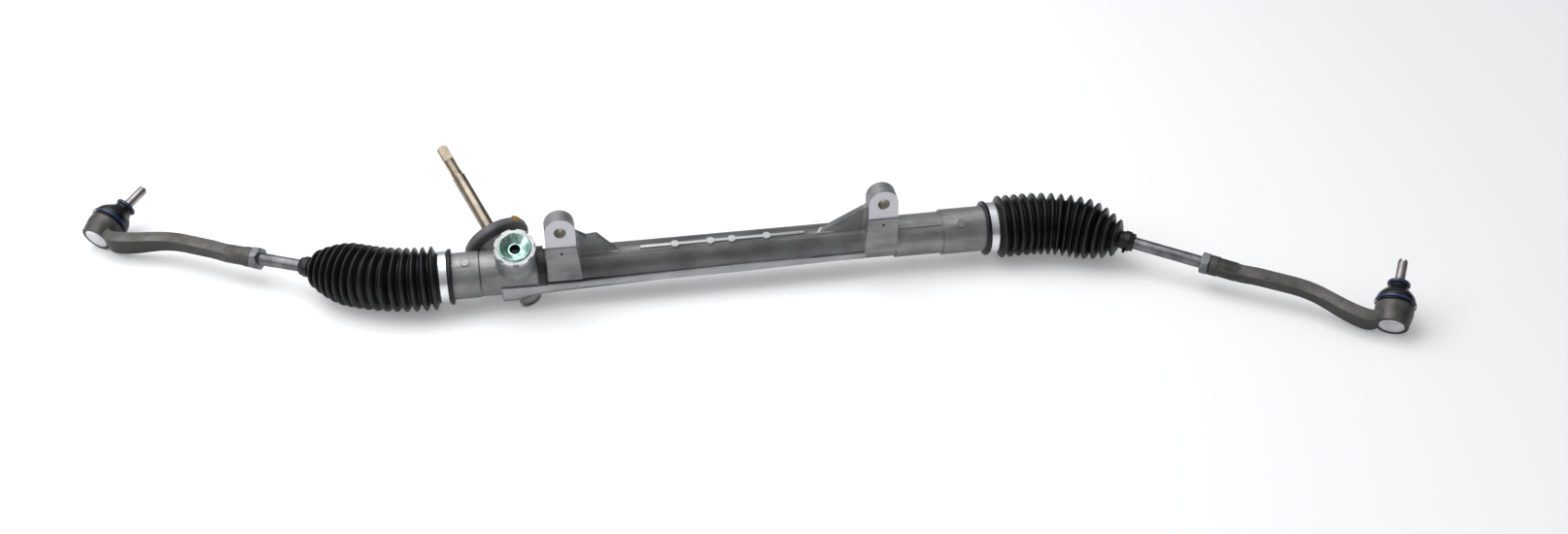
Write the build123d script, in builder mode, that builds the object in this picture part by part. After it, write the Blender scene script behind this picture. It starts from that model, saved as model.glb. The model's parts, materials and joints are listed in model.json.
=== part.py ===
from build123d import *
import os
from math import acos, cos, pi, radians, sin, sqrt, tan

os.makedirs("parts", exist_ok=True)

# Rack-and-pinion steering gear with its two tie rods, in millimetres.
# The origin is midway between the two mounting holes, on the milled pads of the lugs.
# +X runs along the rack towards the right tie rod, -Y is the face that bolts down, +Z is up.

# Clearances, small chamfers, and how far a cut runs past the face it opens
fit_gap = 0.03
running_gap = 0.05
free_gap = 0.3
edge = 1.0
overrun = 1.0

# Mounting lugs and the webs that brace them
lug_spacing = 335.0
lug_hole_r = 6.25
lug_r = 15.6
lug_thickness = 19.0
lug_rise = 55.5
lug_front = 20.0
pad_drop = 18.0
foot_proud = 1.6
foot_drop = 3.0
foot_spread = 4.5
web_gauge = 7.0
web_set_back = 11.0
web_top = 47.0
web_height = 40.0
web_step = 11.0
web_run = 52.0

# Housing casting
end_reach = 130.5
end_r = 24.2
end_length = 46.0
right_end_length = 64.0
groove_width = 1.6
groove_depth = 1.2
shoulder_step = 0.6
shoulder_run = 28.0
right_shoulder_r = 22.3
tube_r = 20.5
bore_clearance = 1.0
mouth_wall = 3.2
mouth_bevel = 1.2
mouth_bevel_depth = 3.0
bush_length = 22.0
bush_wall = 3.5

# Rail along the lower front of the tube, deepest at its toe below the pinion
rail_proud = 0.8
rail_depth = 13.0
rail_toe = 17.5
rail_top = 8.0
rail_drop = 22.5
rail_mid = 24.0
rail_mid_drop = 16.5
rail_end_top = 2.0
rail_end_drop = 6.0

# Parting ridges and ejector pips of the casting
ridge_width = 3.0
ridge_height = 1.4
ridge_length = 172.0
ridge_turn = 17.5
flash_length = 46.0
flash_turn = 32.0
pip_r = 4.2
pip_height = 0.4
pip_places = (-50.0, -13.0, 9.5, 46.0)
end_pip_inset = 32.0
end_pip_turn = 22.5
right_pip_inset = 44.5
right_pip_turn = 38.5

# Rack
rack_r = 12.5
rack_travel = 140.0
rack_offset = 12.0
rack_overhang = 30.0
stud_hole_r = 7.0
stud_hole_depth = 15.0
rack_chamfer = 1.5

# Pinion and its mesh with the rack
pinion_reach = 46.5
pinion_slant = 23.0
yoke_rise = 63.0
gear_module = 1.8
pinion_teeth = 8
pressure_angle = 20.0
tooth_shift = 0.53
tooth_height = 0.75
rack_tooth_height = 0.9
root_clearance = 0.25
backlash = 0.2
tooth_face = 28.0
tooth_room = 0.8
rack_flat = 6.8
flat_margin = 3.0
shaft_reach = 179.5
shaft_r = 7.0
shaft_step = 4.0
shaft_taper = 3.0
spline_r = 5.7
spline_length = 40.0
spline_chamfer = 1.5
clamp_flat_length = 19.0
clamp_flat_depth = 2.0

# Pinion bearings and seals
journal_r = 8.0
journal_shoulder = 6.0
bearing_r = 16.5
bearing_width = 10.0
bearing_ball_r = 2.3
bearing_balls = 9
race_share = 0.36
race_relief = 1.5
circlip_width = 1.8
circlip_gauge = 1.2
circlip_gap = 3.0
retainer_height = 7.0
retainer_slot = 4.0
retainer_slots = 4
seal_groove = 3.0
lower_journal_r = 6.0
lower_journal_length = 9.5
needle_wall = 2.0
boss_wall = 3.2
end_plug_gauge = 3.0
tower_wall = 2.6
tower_height = 46.0
flange_r = 27.0
flange_gauge = 5.0
ring_r = 34.0
ring_height = 10.0
ring_bevel = 2.0
ring_lip = 4.0

# Yoke that presses the rack into the pinion
yoke_r = 16.8
yoke_length = 20.0
yoke_foot = 3.0
yoke_pad = 1.0
yoke_wall = 4.4
o_ring_r = 1.2
o_ring_room = 0.2
o_ring_drop = 6.0
spring_height = 4.0
spring_r = 14.0
spring_hole_r = 5.0
spring_gauge = 1.2
plug_height = 15.0
plug_socket = 10.0
plug_floor = 4.0
dish_rim = 1.4
dish_depth = 6.0
dish_floor_r = 7.0
boss_height = 46.0
lock_ring_height = 5.0
lock_notches = 8
notch_depth = 1.4
notch_width = 6.0

# Inner ball joints
inner_ball_r = 12.5
inner_seat = 1.5
socket_wall = 3.4
socket_nose = 8.5
socket_nose_bevel = 1.5
socket_back = 22.0
socket_step = 4.0
lock_washer = 2.0
swing_limit = 36.0
nod_limit = 8.0
rod_neck_r = 5.5
rod_neck_length = 10.0
rod_neck_taper = 8.0

# Tie rods and their ends
rod_r = 6.5
nut_station = 158.0
nut_width = 22.0
nut_height = 9.0
nut_bevel = 0.4
nut_bevel_slope = 0.5
sleeve_r = 10.0
sleeve_length = 34.0
sleeve_collar = 10.0
sleeve_collar_step = 0.7
sleeve_nose = 12.0
thread_end = 6.0
end_station = 357.0
end_lift = 3.0
arm_sections = 8
arm_height = 13.0
arm_width = 17.0
arm_rise = 3.1
arm_draft = 6.0
crank_start = 0.5
neck_station = 28.0
neck_drop = 10.5
neck_rise = 5.0
neck_width = 23.0

# Outer ball joints
ball_r = 10.0
seat_wall = 2.0
end_housing_r = 20.0
end_lip = 0.6
end_rim = 8.0
end_base_r = 16.6
end_base = 14.0
end_top = 9.0
end_lean = 6.0
end_bevel = 2.0
cap_gauge = 1.6
cap_lap = 0.6
cap_rim = 4.0
cap_dent = 0.5
stud_neck_r = 6.0
stud_neck_rise = 4.0
stud_shoulder_rise = 6.0
stud_taper_r = 7.2
stud_taper_step = 0.6
stud_thread_r = 5.0
stud_tip = 2.0
stud_tip_bevel = 1.2
stud_slot = 3.0
stud_reach = 64.0
stud_limit = 18.0
dust_foot = 3.0
dust_wall = 3.0
dust_belly = 9.0
dust_neck = 17.0
dust_neck_r = 14.0
dust_boot_height = 24.0
dust_ring_gauge = 0.8
dust_ring_half = 1.2
dust_collar_r = 11.5
dust_collar_height = 4.0

# Bellows boots
boot_ridge_r = 33.5
boot_depth = 7.0
boot_folds = 15
boot_taper_folds = 5
boot_wall = 1.6
boot_seat_step = 0.6
boot_lap = 18.0
boot_lip_r = 29.0
boot_lip = 4.0
boot_lip_bevel = 0.5
boot_land = 4.0
boot_length = 167.0
boot_bend = 36.0
boot_collar_length = 15.0
boot_collar_r = 9.6
slim_share = 0.6
band_width = 8.0
band_gauge = 1.0
band_ear = 5.0
clip_width = 6.0
clip_tab = 7.0
clip_spread = 4.0
clip_gauge = 1.2

# How each side lies in the rest pose: yaw of the rod, fall of the rod, roll and lean of the stud
left_yaw = 27.8
left_roll = 17.0
left_lean = 8.0
right_yaw = 33.7
right_roll = 27.0
right_lean = 0.0
rod_fall = 2.6

# Places that follow from the sizes
axis_y = lug_front
axis_z = -lug_rise
lug_x = lug_spacing / 2
housing_length = lug_spacing + 2 * end_reach
end_x = housing_length / 2
pinion_x = -lug_x - pinion_reach
rack_length = housing_length + 2 * rack_overhang
bore_r = rack_r + bore_clearance
joint_reach = rack_length / 2 + lock_washer + socket_back
mouth_r = end_r - mouth_wall
mouth_depth = rack_travel / 2 + socket_back + lock_washer + overrun - (joint_reach - end_x)
bush_depth = mouth_depth + bush_length
bush_r = bore_r + bush_wall


def axis_point(x, y=0.0, z=0.0):
    """Point measured from the rack axis: x along it, y behind it and z above it."""
    return Vector(x, axis_y + y, axis_z + z)


def across(x, face=1):
    """Plane square to the rack axis at x, facing along +X or -X."""
    return Plane(origin=axis_point(x), x_dir=(0, face, 0), z_dir=(face, 0, 0))


def bar(base, radius, start, end, mode=Mode.ADD):
    """Round bar along a plane's normal, from one height above the plane to another."""
    with BuildSketch(base.offset(start)) as face:
        Circle(radius)
    extrude(face.sketch, amount=end - start, mode=mode)


def turn(base, outline, mode=Mode.ADD):
    """Solid turned about a plane's normal from an outline of (radius, height) points."""
    with BuildSketch(Plane(origin=base.origin, x_dir=base.x_dir, z_dir=-base.y_dir)) as face:
        with BuildLine():
            Polyline(*outline, close=True)
        make_face()
    revolve(face.sketch, axis=Axis(base.origin, base.z_dir), mode=mode)


def globe(base, radius, mode=Mode.ADD):
    """Ball about a plane's origin, turned about the plane's normal."""
    with BuildSketch(Plane(origin=base.origin, x_dir=base.x_dir, z_dir=-base.y_dir)) as face:
        with BuildLine():
            CenterArc((0, 0), radius, -90, 180)
            Line((0, radius), (0, -radius))
        make_face()
    revolve(face.sketch, axis=Axis(base.origin, base.z_dir), mode=mode)


def save(piece, name):
    """Label a finished piece and write it to its own file."""
    piece.label = name
    export_step(piece, f"parts/{name}.step")


# Pinion geometry: the pinion lies across the rack, on the side away from the yoke
yoke_dir = Vector(0, -cos(radians(yoke_rise)), sin(radians(yoke_rise)))
pinion_rise = Vector(0, sin(radians(yoke_rise)), cos(radians(yoke_rise)))
pinion_dir = Vector(-sin(radians(pinion_slant)), 0, 0) + pinion_rise * cos(radians(pinion_slant))
pitch_r = gear_module * pinion_teeth / 2
mesh_distance = rack_flat + pitch_r + tooth_shift * gear_module
pinion_tip_r = pitch_r + gear_module * (tooth_shift + tooth_height)
pinion_root_r = pitch_r - gear_module * (1 + root_clearance - tooth_shift)
tooth_pitch = pi * gear_module
rack_tip = rack_flat + rack_tooth_height * gear_module
rack_root = rack_flat - gear_module * (tooth_height + root_clearance)
pinion_origin = axis_point(pinion_x) - yoke_dir * mesh_distance
pinion_plane = Plane(origin=pinion_origin, x_dir=pinion_dir.cross(yoke_dir), z_dir=pinion_dir)
yoke_plane = Plane(origin=axis_point(pinion_x), x_dir=(1, 0, 0), z_dir=yoke_dir)
mesh_x = pinion_x + rack_offset

# Heights along the pinion axis
tooth_end = tooth_face / 2
bearing_seat = tooth_end + journal_shoulder
bearing_top = bearing_seat + bearing_width
retainer_top = bearing_top + retainer_height
seal_top = tower_height - edge
seal_r = journal_r - free_gap
needle_start = -tooth_end - seal_groove
needle_end = needle_start - lower_journal_length
needle_r = lower_journal_r + running_gap + needle_wall
boss_end = needle_end - end_plug_gauge - edge
gear_room_r = pinion_tip_r + tooth_room
gear_case_r = gear_room_r + boss_wall
tower_r = bearing_r + tower_wall
race_wall = (bearing_r - journal_r) * race_share

# Heights along the yoke axis
yoke_top = rack_r + running_gap + yoke_pad + yoke_length
plug_base = yoke_top + spring_height
plug_top = plug_base + plug_height
boss_r = yoke_r + yoke_wall


class Side:
    """Places and directions of one tie rod, its two ball joints and its boot."""

    def __init__(self, name, hand, yaw, roll, lean):
        self.name = name
        self.hand = hand
        self.lean = lean
        self.joint_x = hand * joint_reach + rack_offset
        self.joint = axis_point(self.joint_x)
        level = cos(radians(rod_fall))
        self.along = Vector(
            hand * cos(radians(yaw)) * level,
            -hand * sin(radians(yaw)) * level,
            -sin(radians(rod_fall)),
        )
        flat = Vector(0, 0, hand).cross(self.along).normalized()
        self.up = flat.rotate(Axis((0, 0, 0), self.along), hand * roll).normalized()
        self.rod = Plane(origin=self.joint, x_dir=self.up, z_dir=self.along)
        self.socket = across(self.joint_x, hand)
        side_axis = Axis((0, 0, 0), self.along.cross(self.up))
        self.ball = self.joint + self.along * end_station + self.up * end_lift
        self.end_dir = self.up.rotate(side_axis, end_lean)
        self.end = Plane(origin=self.ball, x_dir=self.along.rotate(side_axis, end_lean), z_dir=self.end_dir)
        stud_dir = self.end_dir.rotate(side_axis, lean)
        self.stud = Plane(origin=self.ball, x_dir=self.end.x_dir.rotate(side_axis, lean), z_dir=stud_dir)
        self.bend = Vector(hand, 0, 0).get_angle(self.along)


left = Side("left", -1, left_yaw, left_roll, left_lean)
right = Side("right", 1, right_yaw, right_roll, right_lean)
sides = (left, right)


# Housing: one casting with the rack tube, lugs, webs, rail, yoke boss and pinion tower
def lug(hand):
    """Bolt lug with a round top and a milled pad, on a cast foot that stands proud of the pad."""
    pad = Plane(origin=(hand * lug_x, 0, 0), x_dir=(1, 0, 0), z_dir=(0, -1, 0))
    with BuildSketch(pad) as tab:
        with BuildLine():
            Polyline((-lug_r, 0), (-lug_r, -lug_rise), (lug_r, -lug_rise), (lug_r, 0))
            CenterArc((0, 0), lug_r, 0, 180)
        make_face()
    extrude(tab.sketch, amount=-lug_thickness)
    with BuildSketch(pad.offset(foot_proud)) as foot:
        with BuildLine():
            Polyline(
                (hand * lug_r, -pad_drop),
                (-hand * lug_r, -pad_drop),
                (-hand * (lug_r + foot_spread), -lug_rise - foot_drop),
                (hand * lug_r, -lug_rise - foot_drop),
                close=True,
            )
        make_face()
    extrude(foot.sketch, amount=-lug_thickness - foot_proud)


def rib(x, turned, length, height):
    """Narrow ridge along the tube, turned forward from its top; gives back its plane."""
    out = Vector(0, -sin(radians(turned)), cos(radians(turned)))
    base = Plane(origin=axis_point(x), x_dir=(1, 0, 0), z_dir=out)
    with BuildSketch(base) as strip:
        Rectangle(length, ridge_width)
    extrude(strip.sketch, amount=height)
    return base


def pip(base, x, height):
    """Round ejector mark that stands on a ridge or barrel."""
    with BuildSketch(base) as disc:
        with Locations((x, 0)):
            Circle(pip_r)
    extrude(disc.sketch, amount=height + pip_height)


with BuildPart() as housing:
    # rack tube with a stouter barrel at each end
    bar(across(-end_x), tube_r, 0, housing_length)
    bar(across(-end_x), end_r, 0, end_length)
    bar(across(end_x), end_r, -right_end_length, 0)
    bar(across(-end_x + end_length), end_r - shoulder_step, 0, pinion_x + shoulder_run + end_x - end_length)
    bar(across(lug_x), right_shoulder_r, lug_r, end_x - right_end_length - lug_x)
    groove_end = end_length + groove_width
    groove_r = end_r - groove_depth
    groove = [(groove_r, end_length), (end_r + edge, end_length), (end_r + edge, groove_end), (groove_r, groove_end)]
    turn(across(-end_x), groove, Mode.SUBTRACT)

    # rail along the lower front of the tube
    rail_front = Plane(origin=axis_point(0, -tube_r - rail_proud), x_dir=(1, 0, 0), z_dir=(0, -1, 0))
    with BuildSketch(rail_front) as rail:
        with BuildLine():
            Polyline(
                (pinion_x - rail_toe, -rail_top),
                (pinion_x - rail_toe + edge, -rail_drop),
                (pinion_x, -rail_drop),
                (pinion_x + rail_mid, -rail_mid_drop),
                (lug_x - lug_r, -rail_end_drop),
                (lug_x - lug_r, -rail_end_top),
                close=True,
            )
        make_face()
    extrude(rail.sketch, amount=-rail_depth)

    # mounting lugs, and the webs that brace them along the tube
    lug(-1)
    lug(1)
    web_plane = Plane(origin=(0, web_set_back, axis_z), x_dir=(1, 0, 0), z_dir=(0, -1, 0))
    left_side = -lug_x + lug_r
    right_side = lug_x - lug_r
    with BuildSketch(web_plane) as webs:
        with BuildLine():
            Polyline(
                (-lug_x, web_top),
                (left_side, web_top),
                (left_side + web_step, web_height),
                (left_side + 2 * web_step, web_height + edge),
                (left_side + 3 * web_step, web_height - web_step),
                (left_side + 5 * web_step, tube_r / 2),
                (-lug_x, 0),
                close=True,
            )
        make_face()
        with BuildLine():
            Polyline(
                (lug_x, web_top),
                (right_side, web_top),
                (right_side - web_run, tube_r - edge),
                (right_side - web_run, tube_r / 2),
                (lug_x, 0),
                close=True,
            )
        make_face()
    extrude(webs.sketch, amount=-web_gauge)

    # yoke boss and pinion tower
    bar(yoke_plane, boss_r, 0, boss_height)
    bar(pinion_plane, needle_r + boss_wall, boss_end, 0)
    turn(
        pinion_plane,
        [
            (0, needle_start - boss_wall),
            (gear_case_r, needle_start - boss_wall),
            (gear_case_r, 0),
            (tower_r, bearing_seat - journal_shoulder),
            (tower_r, bearing_top),
            (flange_r, tower_height - flange_gauge),
            (flange_r, tower_height),
            (0, tower_height),
        ],
    )

    # parting ridges with their ejector pips
    ridge = rib(0, ridge_turn, ridge_length, tube_r + ridge_height)
    for place in pip_places:
        pip(ridge, place, tube_r + ridge_height)
    flash_x = (lug_x + lug_r + end_x - right_end_length) / 2
    rib(flash_x, flash_turn, flash_length, right_shoulder_r + ridge_height)
    for place, turned in ((end_pip_inset - end_x, end_pip_turn), (end_x - right_pip_inset, right_pip_turn)):
        out = Vector(0, -sin(radians(turned)), cos(radians(turned)))
        pip(Plane(origin=axis_point(place), x_dir=(1, 0, 0), z_dir=out), 0, end_r)

    # bores: the rack, the two mouths, the bush, the yoke and the pinion
    bar(across(-end_x), bore_r, 0, housing_length, Mode.SUBTRACT)
    for hand in (-1, 1):
        mouth = across(hand * end_x, hand)
        bar(mouth, mouth_r, -mouth_depth, overrun, Mode.SUBTRACT)
        bevel_r = mouth_r + mouth_bevel
        bevel = [(0, -mouth_bevel_depth), (mouth_r, -mouth_bevel_depth), (bevel_r, overrun), (0, overrun)]
        turn(mouth, bevel, Mode.SUBTRACT)
    bar(across(end_x), bush_r, -bush_depth, 0, Mode.SUBTRACT)
    bar(yoke_plane, yoke_r + running_gap, 0, boss_height + overrun, Mode.SUBTRACT)
    bar(pinion_plane, gear_room_r, needle_start, bearing_seat, Mode.SUBTRACT)
    relief_r = journal_r + race_wall + race_relief
    bar(pinion_plane, relief_r, bearing_seat - race_relief, bearing_seat, Mode.SUBTRACT)
    bar(pinion_plane, needle_r, boss_end - overrun, needle_start, Mode.SUBTRACT)
    bar(pinion_plane, bearing_r + fit_gap, bearing_seat, tower_height + overrun, Mode.SUBTRACT)
    for place in (-lug_x, lug_x):
        centre = Plane(origin=(place, 0, 0), x_dir=(1, 0, 0), z_dir=(0, -1, 0))
        bar(centre, lug_hole_r, -lug_thickness - overrun, overrun, Mode.SUBTRACT)
save(housing.part, "housing")


# Rack bar: toothed flat on the pinion side, tapped at both ends for the ball sockets
slant_cos = cos(radians(pinion_slant))
slant_sin = sin(radians(pinion_slant))
flat_half = rack_travel / 2 + pinion_tip_r / slant_cos + tooth_end * slant_sin + flat_margin
gap_count = 2 * int(flat_half * slant_cos / tooth_pitch) + 1
gap_shift = round(rack_offset * slant_cos / tooth_pitch) * tooth_pitch
rack_start = rack_offset - rack_length / 2


def rack_gap_points():
    """Corners of one tooth gap of the rack, in the plane square to the pinion."""
    line = rack_flat - mesh_distance
    slope = tan(radians(pressure_angle))
    mouth = rack_tip - rack_flat + 2 * overrun
    floor = rack_flat - rack_root
    half = tooth_pitch / 4
    top = half + mouth * slope
    low = half - floor * slope
    return (-top, line + mouth), (top, line + mouth), (low, line - floor), (-low, line - floor)


with BuildPart() as rack:
    bar(across(rack_start), rack_r, 0, rack_length)
    chamfer(rack.edges().filter_by(GeomType.CIRCLE), rack_chamfer)
    flat_plane = Plane(origin=axis_point(mesh_x) - yoke_dir * rack_tip, x_dir=(1, 0, 0), z_dir=-yoke_dir)
    with BuildSketch(flat_plane) as flat:
        Rectangle(2 * flat_half, 2 * rack_r)
    extrude(flat.sketch, amount=rack_r, mode=Mode.SUBTRACT)
    with BuildSketch(pinion_plane) as gaps:
        with Locations((gap_shift, 0)):
            with GridLocations(tooth_pitch, 1, gap_count, 1):
                Polygon(*rack_gap_points(), align=None)
    extrude(gaps.sketch, amount=flat_half, both=True, mode=Mode.SUBTRACT)
    bar(across(rack_start), stud_hole_r + fit_gap, 0, stud_hole_depth, Mode.SUBTRACT)
    bar(across(rack_start + rack_length), stud_hole_r + fit_gap, -stud_hole_depth, 0, Mode.SUBTRACT)
save(rack.part, "rack")


# Pinion shaft: spur teeth, two journals and a splined end with a flat for the clamp bolt
def involute(angle):
    """Involute of an angle in radians."""
    return tan(angle) - angle


base_r = pitch_r * cos(radians(pressure_angle))
tooth_thickness = gear_module * (pi / 2 + 2 * tooth_shift * tan(radians(pressure_angle))) - backlash
tooth_half = tooth_thickness / (2 * pitch_r)


def flank(radius, centre, hand):
    """Point of a tooth flank at a radius; centre is the tooth's angle in radians."""
    turned = involute(radians(pressure_angle)) - involute(acos(base_r / max(radius, base_r)))
    angle = centre + hand * (tooth_half + turned)
    return radius * cos(angle), radius * sin(angle)


with BuildPart() as pinion:
    spline_start = shaft_reach - spline_length
    turn(
        pinion_plane,
        [
            (0, needle_end + edge),
            (lower_journal_r - edge, needle_end + edge),
            (lower_journal_r, needle_end + 2 * edge),
            (lower_journal_r, needle_start),
            (pinion_root_r, needle_start),
            (pinion_root_r, tooth_end),
            (pinion_tip_r, tooth_end),
            (pinion_tip_r, bearing_seat),
            (journal_r, bearing_seat),
            (journal_r, retainer_top),
            (seal_r, retainer_top),
            (seal_r, tower_height + shaft_step),
            (shaft_r, tower_height + shaft_step + shaft_taper),
            (shaft_r, spline_start - 2 * edge),
            (spline_r - free_gap, spline_start - edge),
            (spline_r - free_gap, spline_start + edge),
            (spline_r, spline_start + edge),
            (spline_r, shaft_reach - spline_chamfer),
            (spline_r - spline_chamfer, shaft_reach),
            (0, shaft_reach),
        ],
    )
    with BuildSketch(pinion_plane.offset(-tooth_end)) as teeth:
        for index in range(pinion_teeth):
            centre = 2 * pi * index / pinion_teeth - pi / 2
            low = pinion_root_r - edge / 2
            high = (base_r + pinion_tip_r) / 2
            with BuildLine():
                Line(flank(low, centre, -1), flank(base_r, centre, -1))
                ThreePointArc(*(flank(r, centre, -1) for r in (base_r, high, pinion_tip_r)))
                Line(flank(pinion_tip_r, centre, -1), flank(pinion_tip_r, centre, 1))
                ThreePointArc(*(flank(r, centre, 1) for r in (pinion_tip_r, high, base_r)))
                Line(flank(base_r, centre, 1), flank(low, centre, 1))
                Line(flank(low, centre, 1), flank(low, centre, -1))
            make_face()
    extrude(teeth.sketch, amount=tooth_face)
    with BuildSketch(pinion_plane.offset(shaft_reach - clamp_flat_length)) as clamp_flat:
        with Locations((0, clamp_flat_depth - 2 * spline_r)):
            Rectangle(2 * spline_r, 2 * spline_r)
    extrude(clamp_flat.sketch, amount=clamp_flat_length + overrun, mode=Mode.SUBTRACT)
save(pinion.part, "pinion_shaft")

# Pinion bearings, retainer, seals and caps
race_r = (journal_r + bearing_r) / 2
race_plane = pinion_plane.offset(bearing_seat + bearing_width / 2)


def race(inner, outer):
    """Bearing ring between two radii, with the groove that the balls run in."""
    half = bearing_width / 2
    turn(race_plane, [(inner, -half), (outer, -half), (outer, half), (inner, half)])
    groove = Plane(origin=race_plane.origin, x_dir=race_plane.x_dir, z_dir=-race_plane.y_dir)
    with BuildSketch(groove) as track:
        with Locations((race_r, 0)):
            Circle(bearing_ball_r + running_gap)
    revolve(track.sketch, axis=Axis(race_plane.origin, race_plane.z_dir), mode=Mode.SUBTRACT)


with BuildPart() as bearing_inner:
    race(journal_r + fit_gap, journal_r + race_wall)
save(bearing_inner.part, "pinion_bearing_inner_ring")

with BuildPart() as bearing_outer:
    race(bearing_r - race_wall, bearing_r)
save(bearing_outer.part, "pinion_bearing_outer_ring")

with BuildPart() as balls:
    for index in range(bearing_balls):
        turned = 2 * pi * index / bearing_balls
        spot = race_plane.from_local_coords((race_r * cos(turned), race_r * sin(turned), 0))
        globe(Plane(origin=spot, x_dir=race_plane.x_dir, z_dir=race_plane.z_dir), bearing_ball_r)
save(balls.part, "pinion_bearing_balls")

with BuildPart() as circlip:
    bar(pinion_plane, journal_r + circlip_width, bearing_top, bearing_top + circlip_gauge)
    bar(pinion_plane, journal_r + fit_gap, bearing_top, bearing_top + circlip_gauge, Mode.SUBTRACT)
    with BuildSketch(pinion_plane.offset(bearing_top)) as split_gap:
        with Locations((journal_r, 0)):
            Rectangle(3 * circlip_width, circlip_gap)
    extrude(split_gap.sketch, amount=circlip_gauge, mode=Mode.SUBTRACT)
save(circlip.part, "pinion_circlip")

with BuildPart() as retainer:
    bar(pinion_plane, bearing_r, bearing_top, retainer_top)
    bar(pinion_plane, journal_r + race_wall + edge, bearing_top, retainer_top, Mode.SUBTRACT)
    with BuildSketch(pinion_plane.offset(retainer_top)) as slots:
        with PolarLocations(bearing_r, retainer_slots):
            Rectangle(retainer_slot, retainer_slot)
    extrude(slots.sketch, amount=-retainer_height / 2, mode=Mode.SUBTRACT)
save(retainer.part, "pinion_bearing_retainer")

with BuildPart() as pinion_seal:
    bar(pinion_plane, bearing_r, retainer_top, seal_top)
    bar(pinion_plane, seal_r + 2 * running_gap, retainer_top, seal_top, Mode.SUBTRACT)
    groove_low = seal_top - seal_groove
    groove_out = bearing_r - seal_groove
    turn(
        pinion_plane,
        [
            (journal_r, groove_low),
            (groove_out, groove_low),
            (groove_out, seal_top),
            (journal_r + 2 * edge, seal_top),
        ],
        Mode.SUBTRACT,
    )
save(pinion_seal.part, "pinion_seal")

with BuildPart() as tower_ring:
    ring_low = tower_height - flange_gauge
    ring_top = ring_low + ring_height
    turn(
        pinion_plane,
        [
            (flange_r + fit_gap, ring_low),
            (ring_r - ring_bevel, ring_low),
            (ring_r, ring_low + ring_bevel),
            (ring_r, ring_top - ring_bevel),
            (ring_r - ring_bevel, ring_top),
            (flange_r - ring_lip, ring_top),
            (flange_r - ring_lip, tower_height),
            (flange_r + fit_gap, tower_height),
        ],
    )
save(tower_ring.part, "pinion_tower_ring")

with BuildPart() as needle_bush:
    bar(pinion_plane, needle_r - fit_gap, needle_end, needle_start)
    bar(pinion_plane, lower_journal_r + running_gap, needle_end, needle_start, Mode.SUBTRACT)
save(needle_bush.part, "pinion_needle_bush")

with BuildPart() as end_plug:
    bar(pinion_plane, needle_r - fit_gap, boss_end + edge, boss_end + edge + end_plug_gauge - free_gap)
save(end_plug.part, "pinion_end_plug")

with BuildPart() as rack_bush:
    bush = across(end_x)
    bar(bush, bush_r - fit_gap, -bush_depth, -mouth_depth)
    bar(bush, rack_r + running_gap, -bush_depth, -mouth_depth, Mode.SUBTRACT)
save(rack_bush.part, "rack_bush")

# Yoke, its pad, ring and spring, and the plug that sets the preload
pad_r = rack_r + running_gap + yoke_pad

o_ring_height = yoke_top - o_ring_drop

with BuildPart() as yoke:
    bar(yoke_plane, yoke_r, yoke_foot, yoke_top)
    bar(across(pinion_x - yoke_r), pad_r + fit_gap, 0, 2 * yoke_r, Mode.SUBTRACT)
    groove_r = yoke_r - 2 * o_ring_r - o_ring_room
    groove_half = o_ring_r + o_ring_room
    turn(
        yoke_plane,
        [
            (groove_r, o_ring_height - groove_half),
            (yoke_r + overrun, o_ring_height - groove_half),
            (yoke_r + overrun, o_ring_height + groove_half),
            (groove_r, o_ring_height + groove_half),
        ],
        Mode.SUBTRACT,
    )
save(yoke.part, "rack_yoke")

with BuildPart() as yoke_liner:
    bar(yoke_plane, yoke_r - edge, yoke_foot + edge, pad_r + 2 * edge)
    bar(across(pinion_x - yoke_r), pad_r, 0, 2 * yoke_r, Mode.INTERSECT)
    bar(across(pinion_x - yoke_r), rack_r + running_gap, 0, 2 * yoke_r, Mode.SUBTRACT)
save(yoke_liner.part, "yoke_pad")

with BuildPart() as yoke_ring:
    with BuildSketch(Plane(origin=yoke_plane.origin, x_dir=(1, 0, 0), z_dir=-yoke_plane.y_dir)) as section:
        with Locations((yoke_r - running_gap - o_ring_r, o_ring_height)):
            Circle(o_ring_r)
    revolve(section.sketch, axis=Axis(yoke_plane.origin, yoke_dir))
save(yoke_ring.part, "yoke_o_ring")

with BuildPart() as yoke_spring:
    turn(
        yoke_plane,
        [
            (spring_r, yoke_top),
            (spring_r, yoke_top + spring_gauge),
            (spring_hole_r, plug_base),
            (spring_hole_r, plug_base - spring_gauge),
        ],
    )
save(yoke_spring.part, "yoke_spring")

with BuildPart() as plug:
    turn(
        yoke_plane,
        [
            (0, plug_base),
            (yoke_r, plug_base),
            (yoke_r, plug_top - edge),
            (yoke_r - edge, plug_top),
            (yoke_r - dish_rim, plug_top),
            (dish_floor_r, plug_top - dish_depth),
            (0, plug_top - dish_depth),
        ],
    )
    with BuildSketch(yoke_plane.offset(plug_top)) as socket_hex:
        RegularPolygon(plug_socket / 2, 6, major_radius=False)
    extrude(socket_hex.sketch, amount=plug_floor - plug_height, mode=Mode.SUBTRACT)
save(plug.part, "yoke_plug")

with BuildPart() as lock_ring:
    lock_ring_top = boss_height + lock_ring_height
    bar(yoke_plane, boss_r, boss_height, lock_ring_top)
    bar(yoke_plane, yoke_r + fit_gap, boss_height, lock_ring_top, Mode.SUBTRACT)
    with BuildSketch(yoke_plane.offset(boss_height + edge)) as notches:
        with PolarLocations(boss_r, lock_notches):
            Rectangle(2 * notch_depth, notch_width)
    extrude(notches.sketch, amount=lock_ring_height, mode=Mode.SUBTRACT)
save(lock_ring.part, "yoke_lock_ring")


# Inner ball joints
inner_seat_r = inner_ball_r + running_gap + inner_seat
cavity_r = inner_seat_r + running_gap
socket_r = cavity_r + socket_wall
nod_room = inner_ball_r * tan(radians(nod_limit)) + rod_neck_r / cos(radians(nod_limit)) + free_gap
full_swing = acos(cos(radians(swing_limit)) * cos(radians(nod_limit)))


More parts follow.
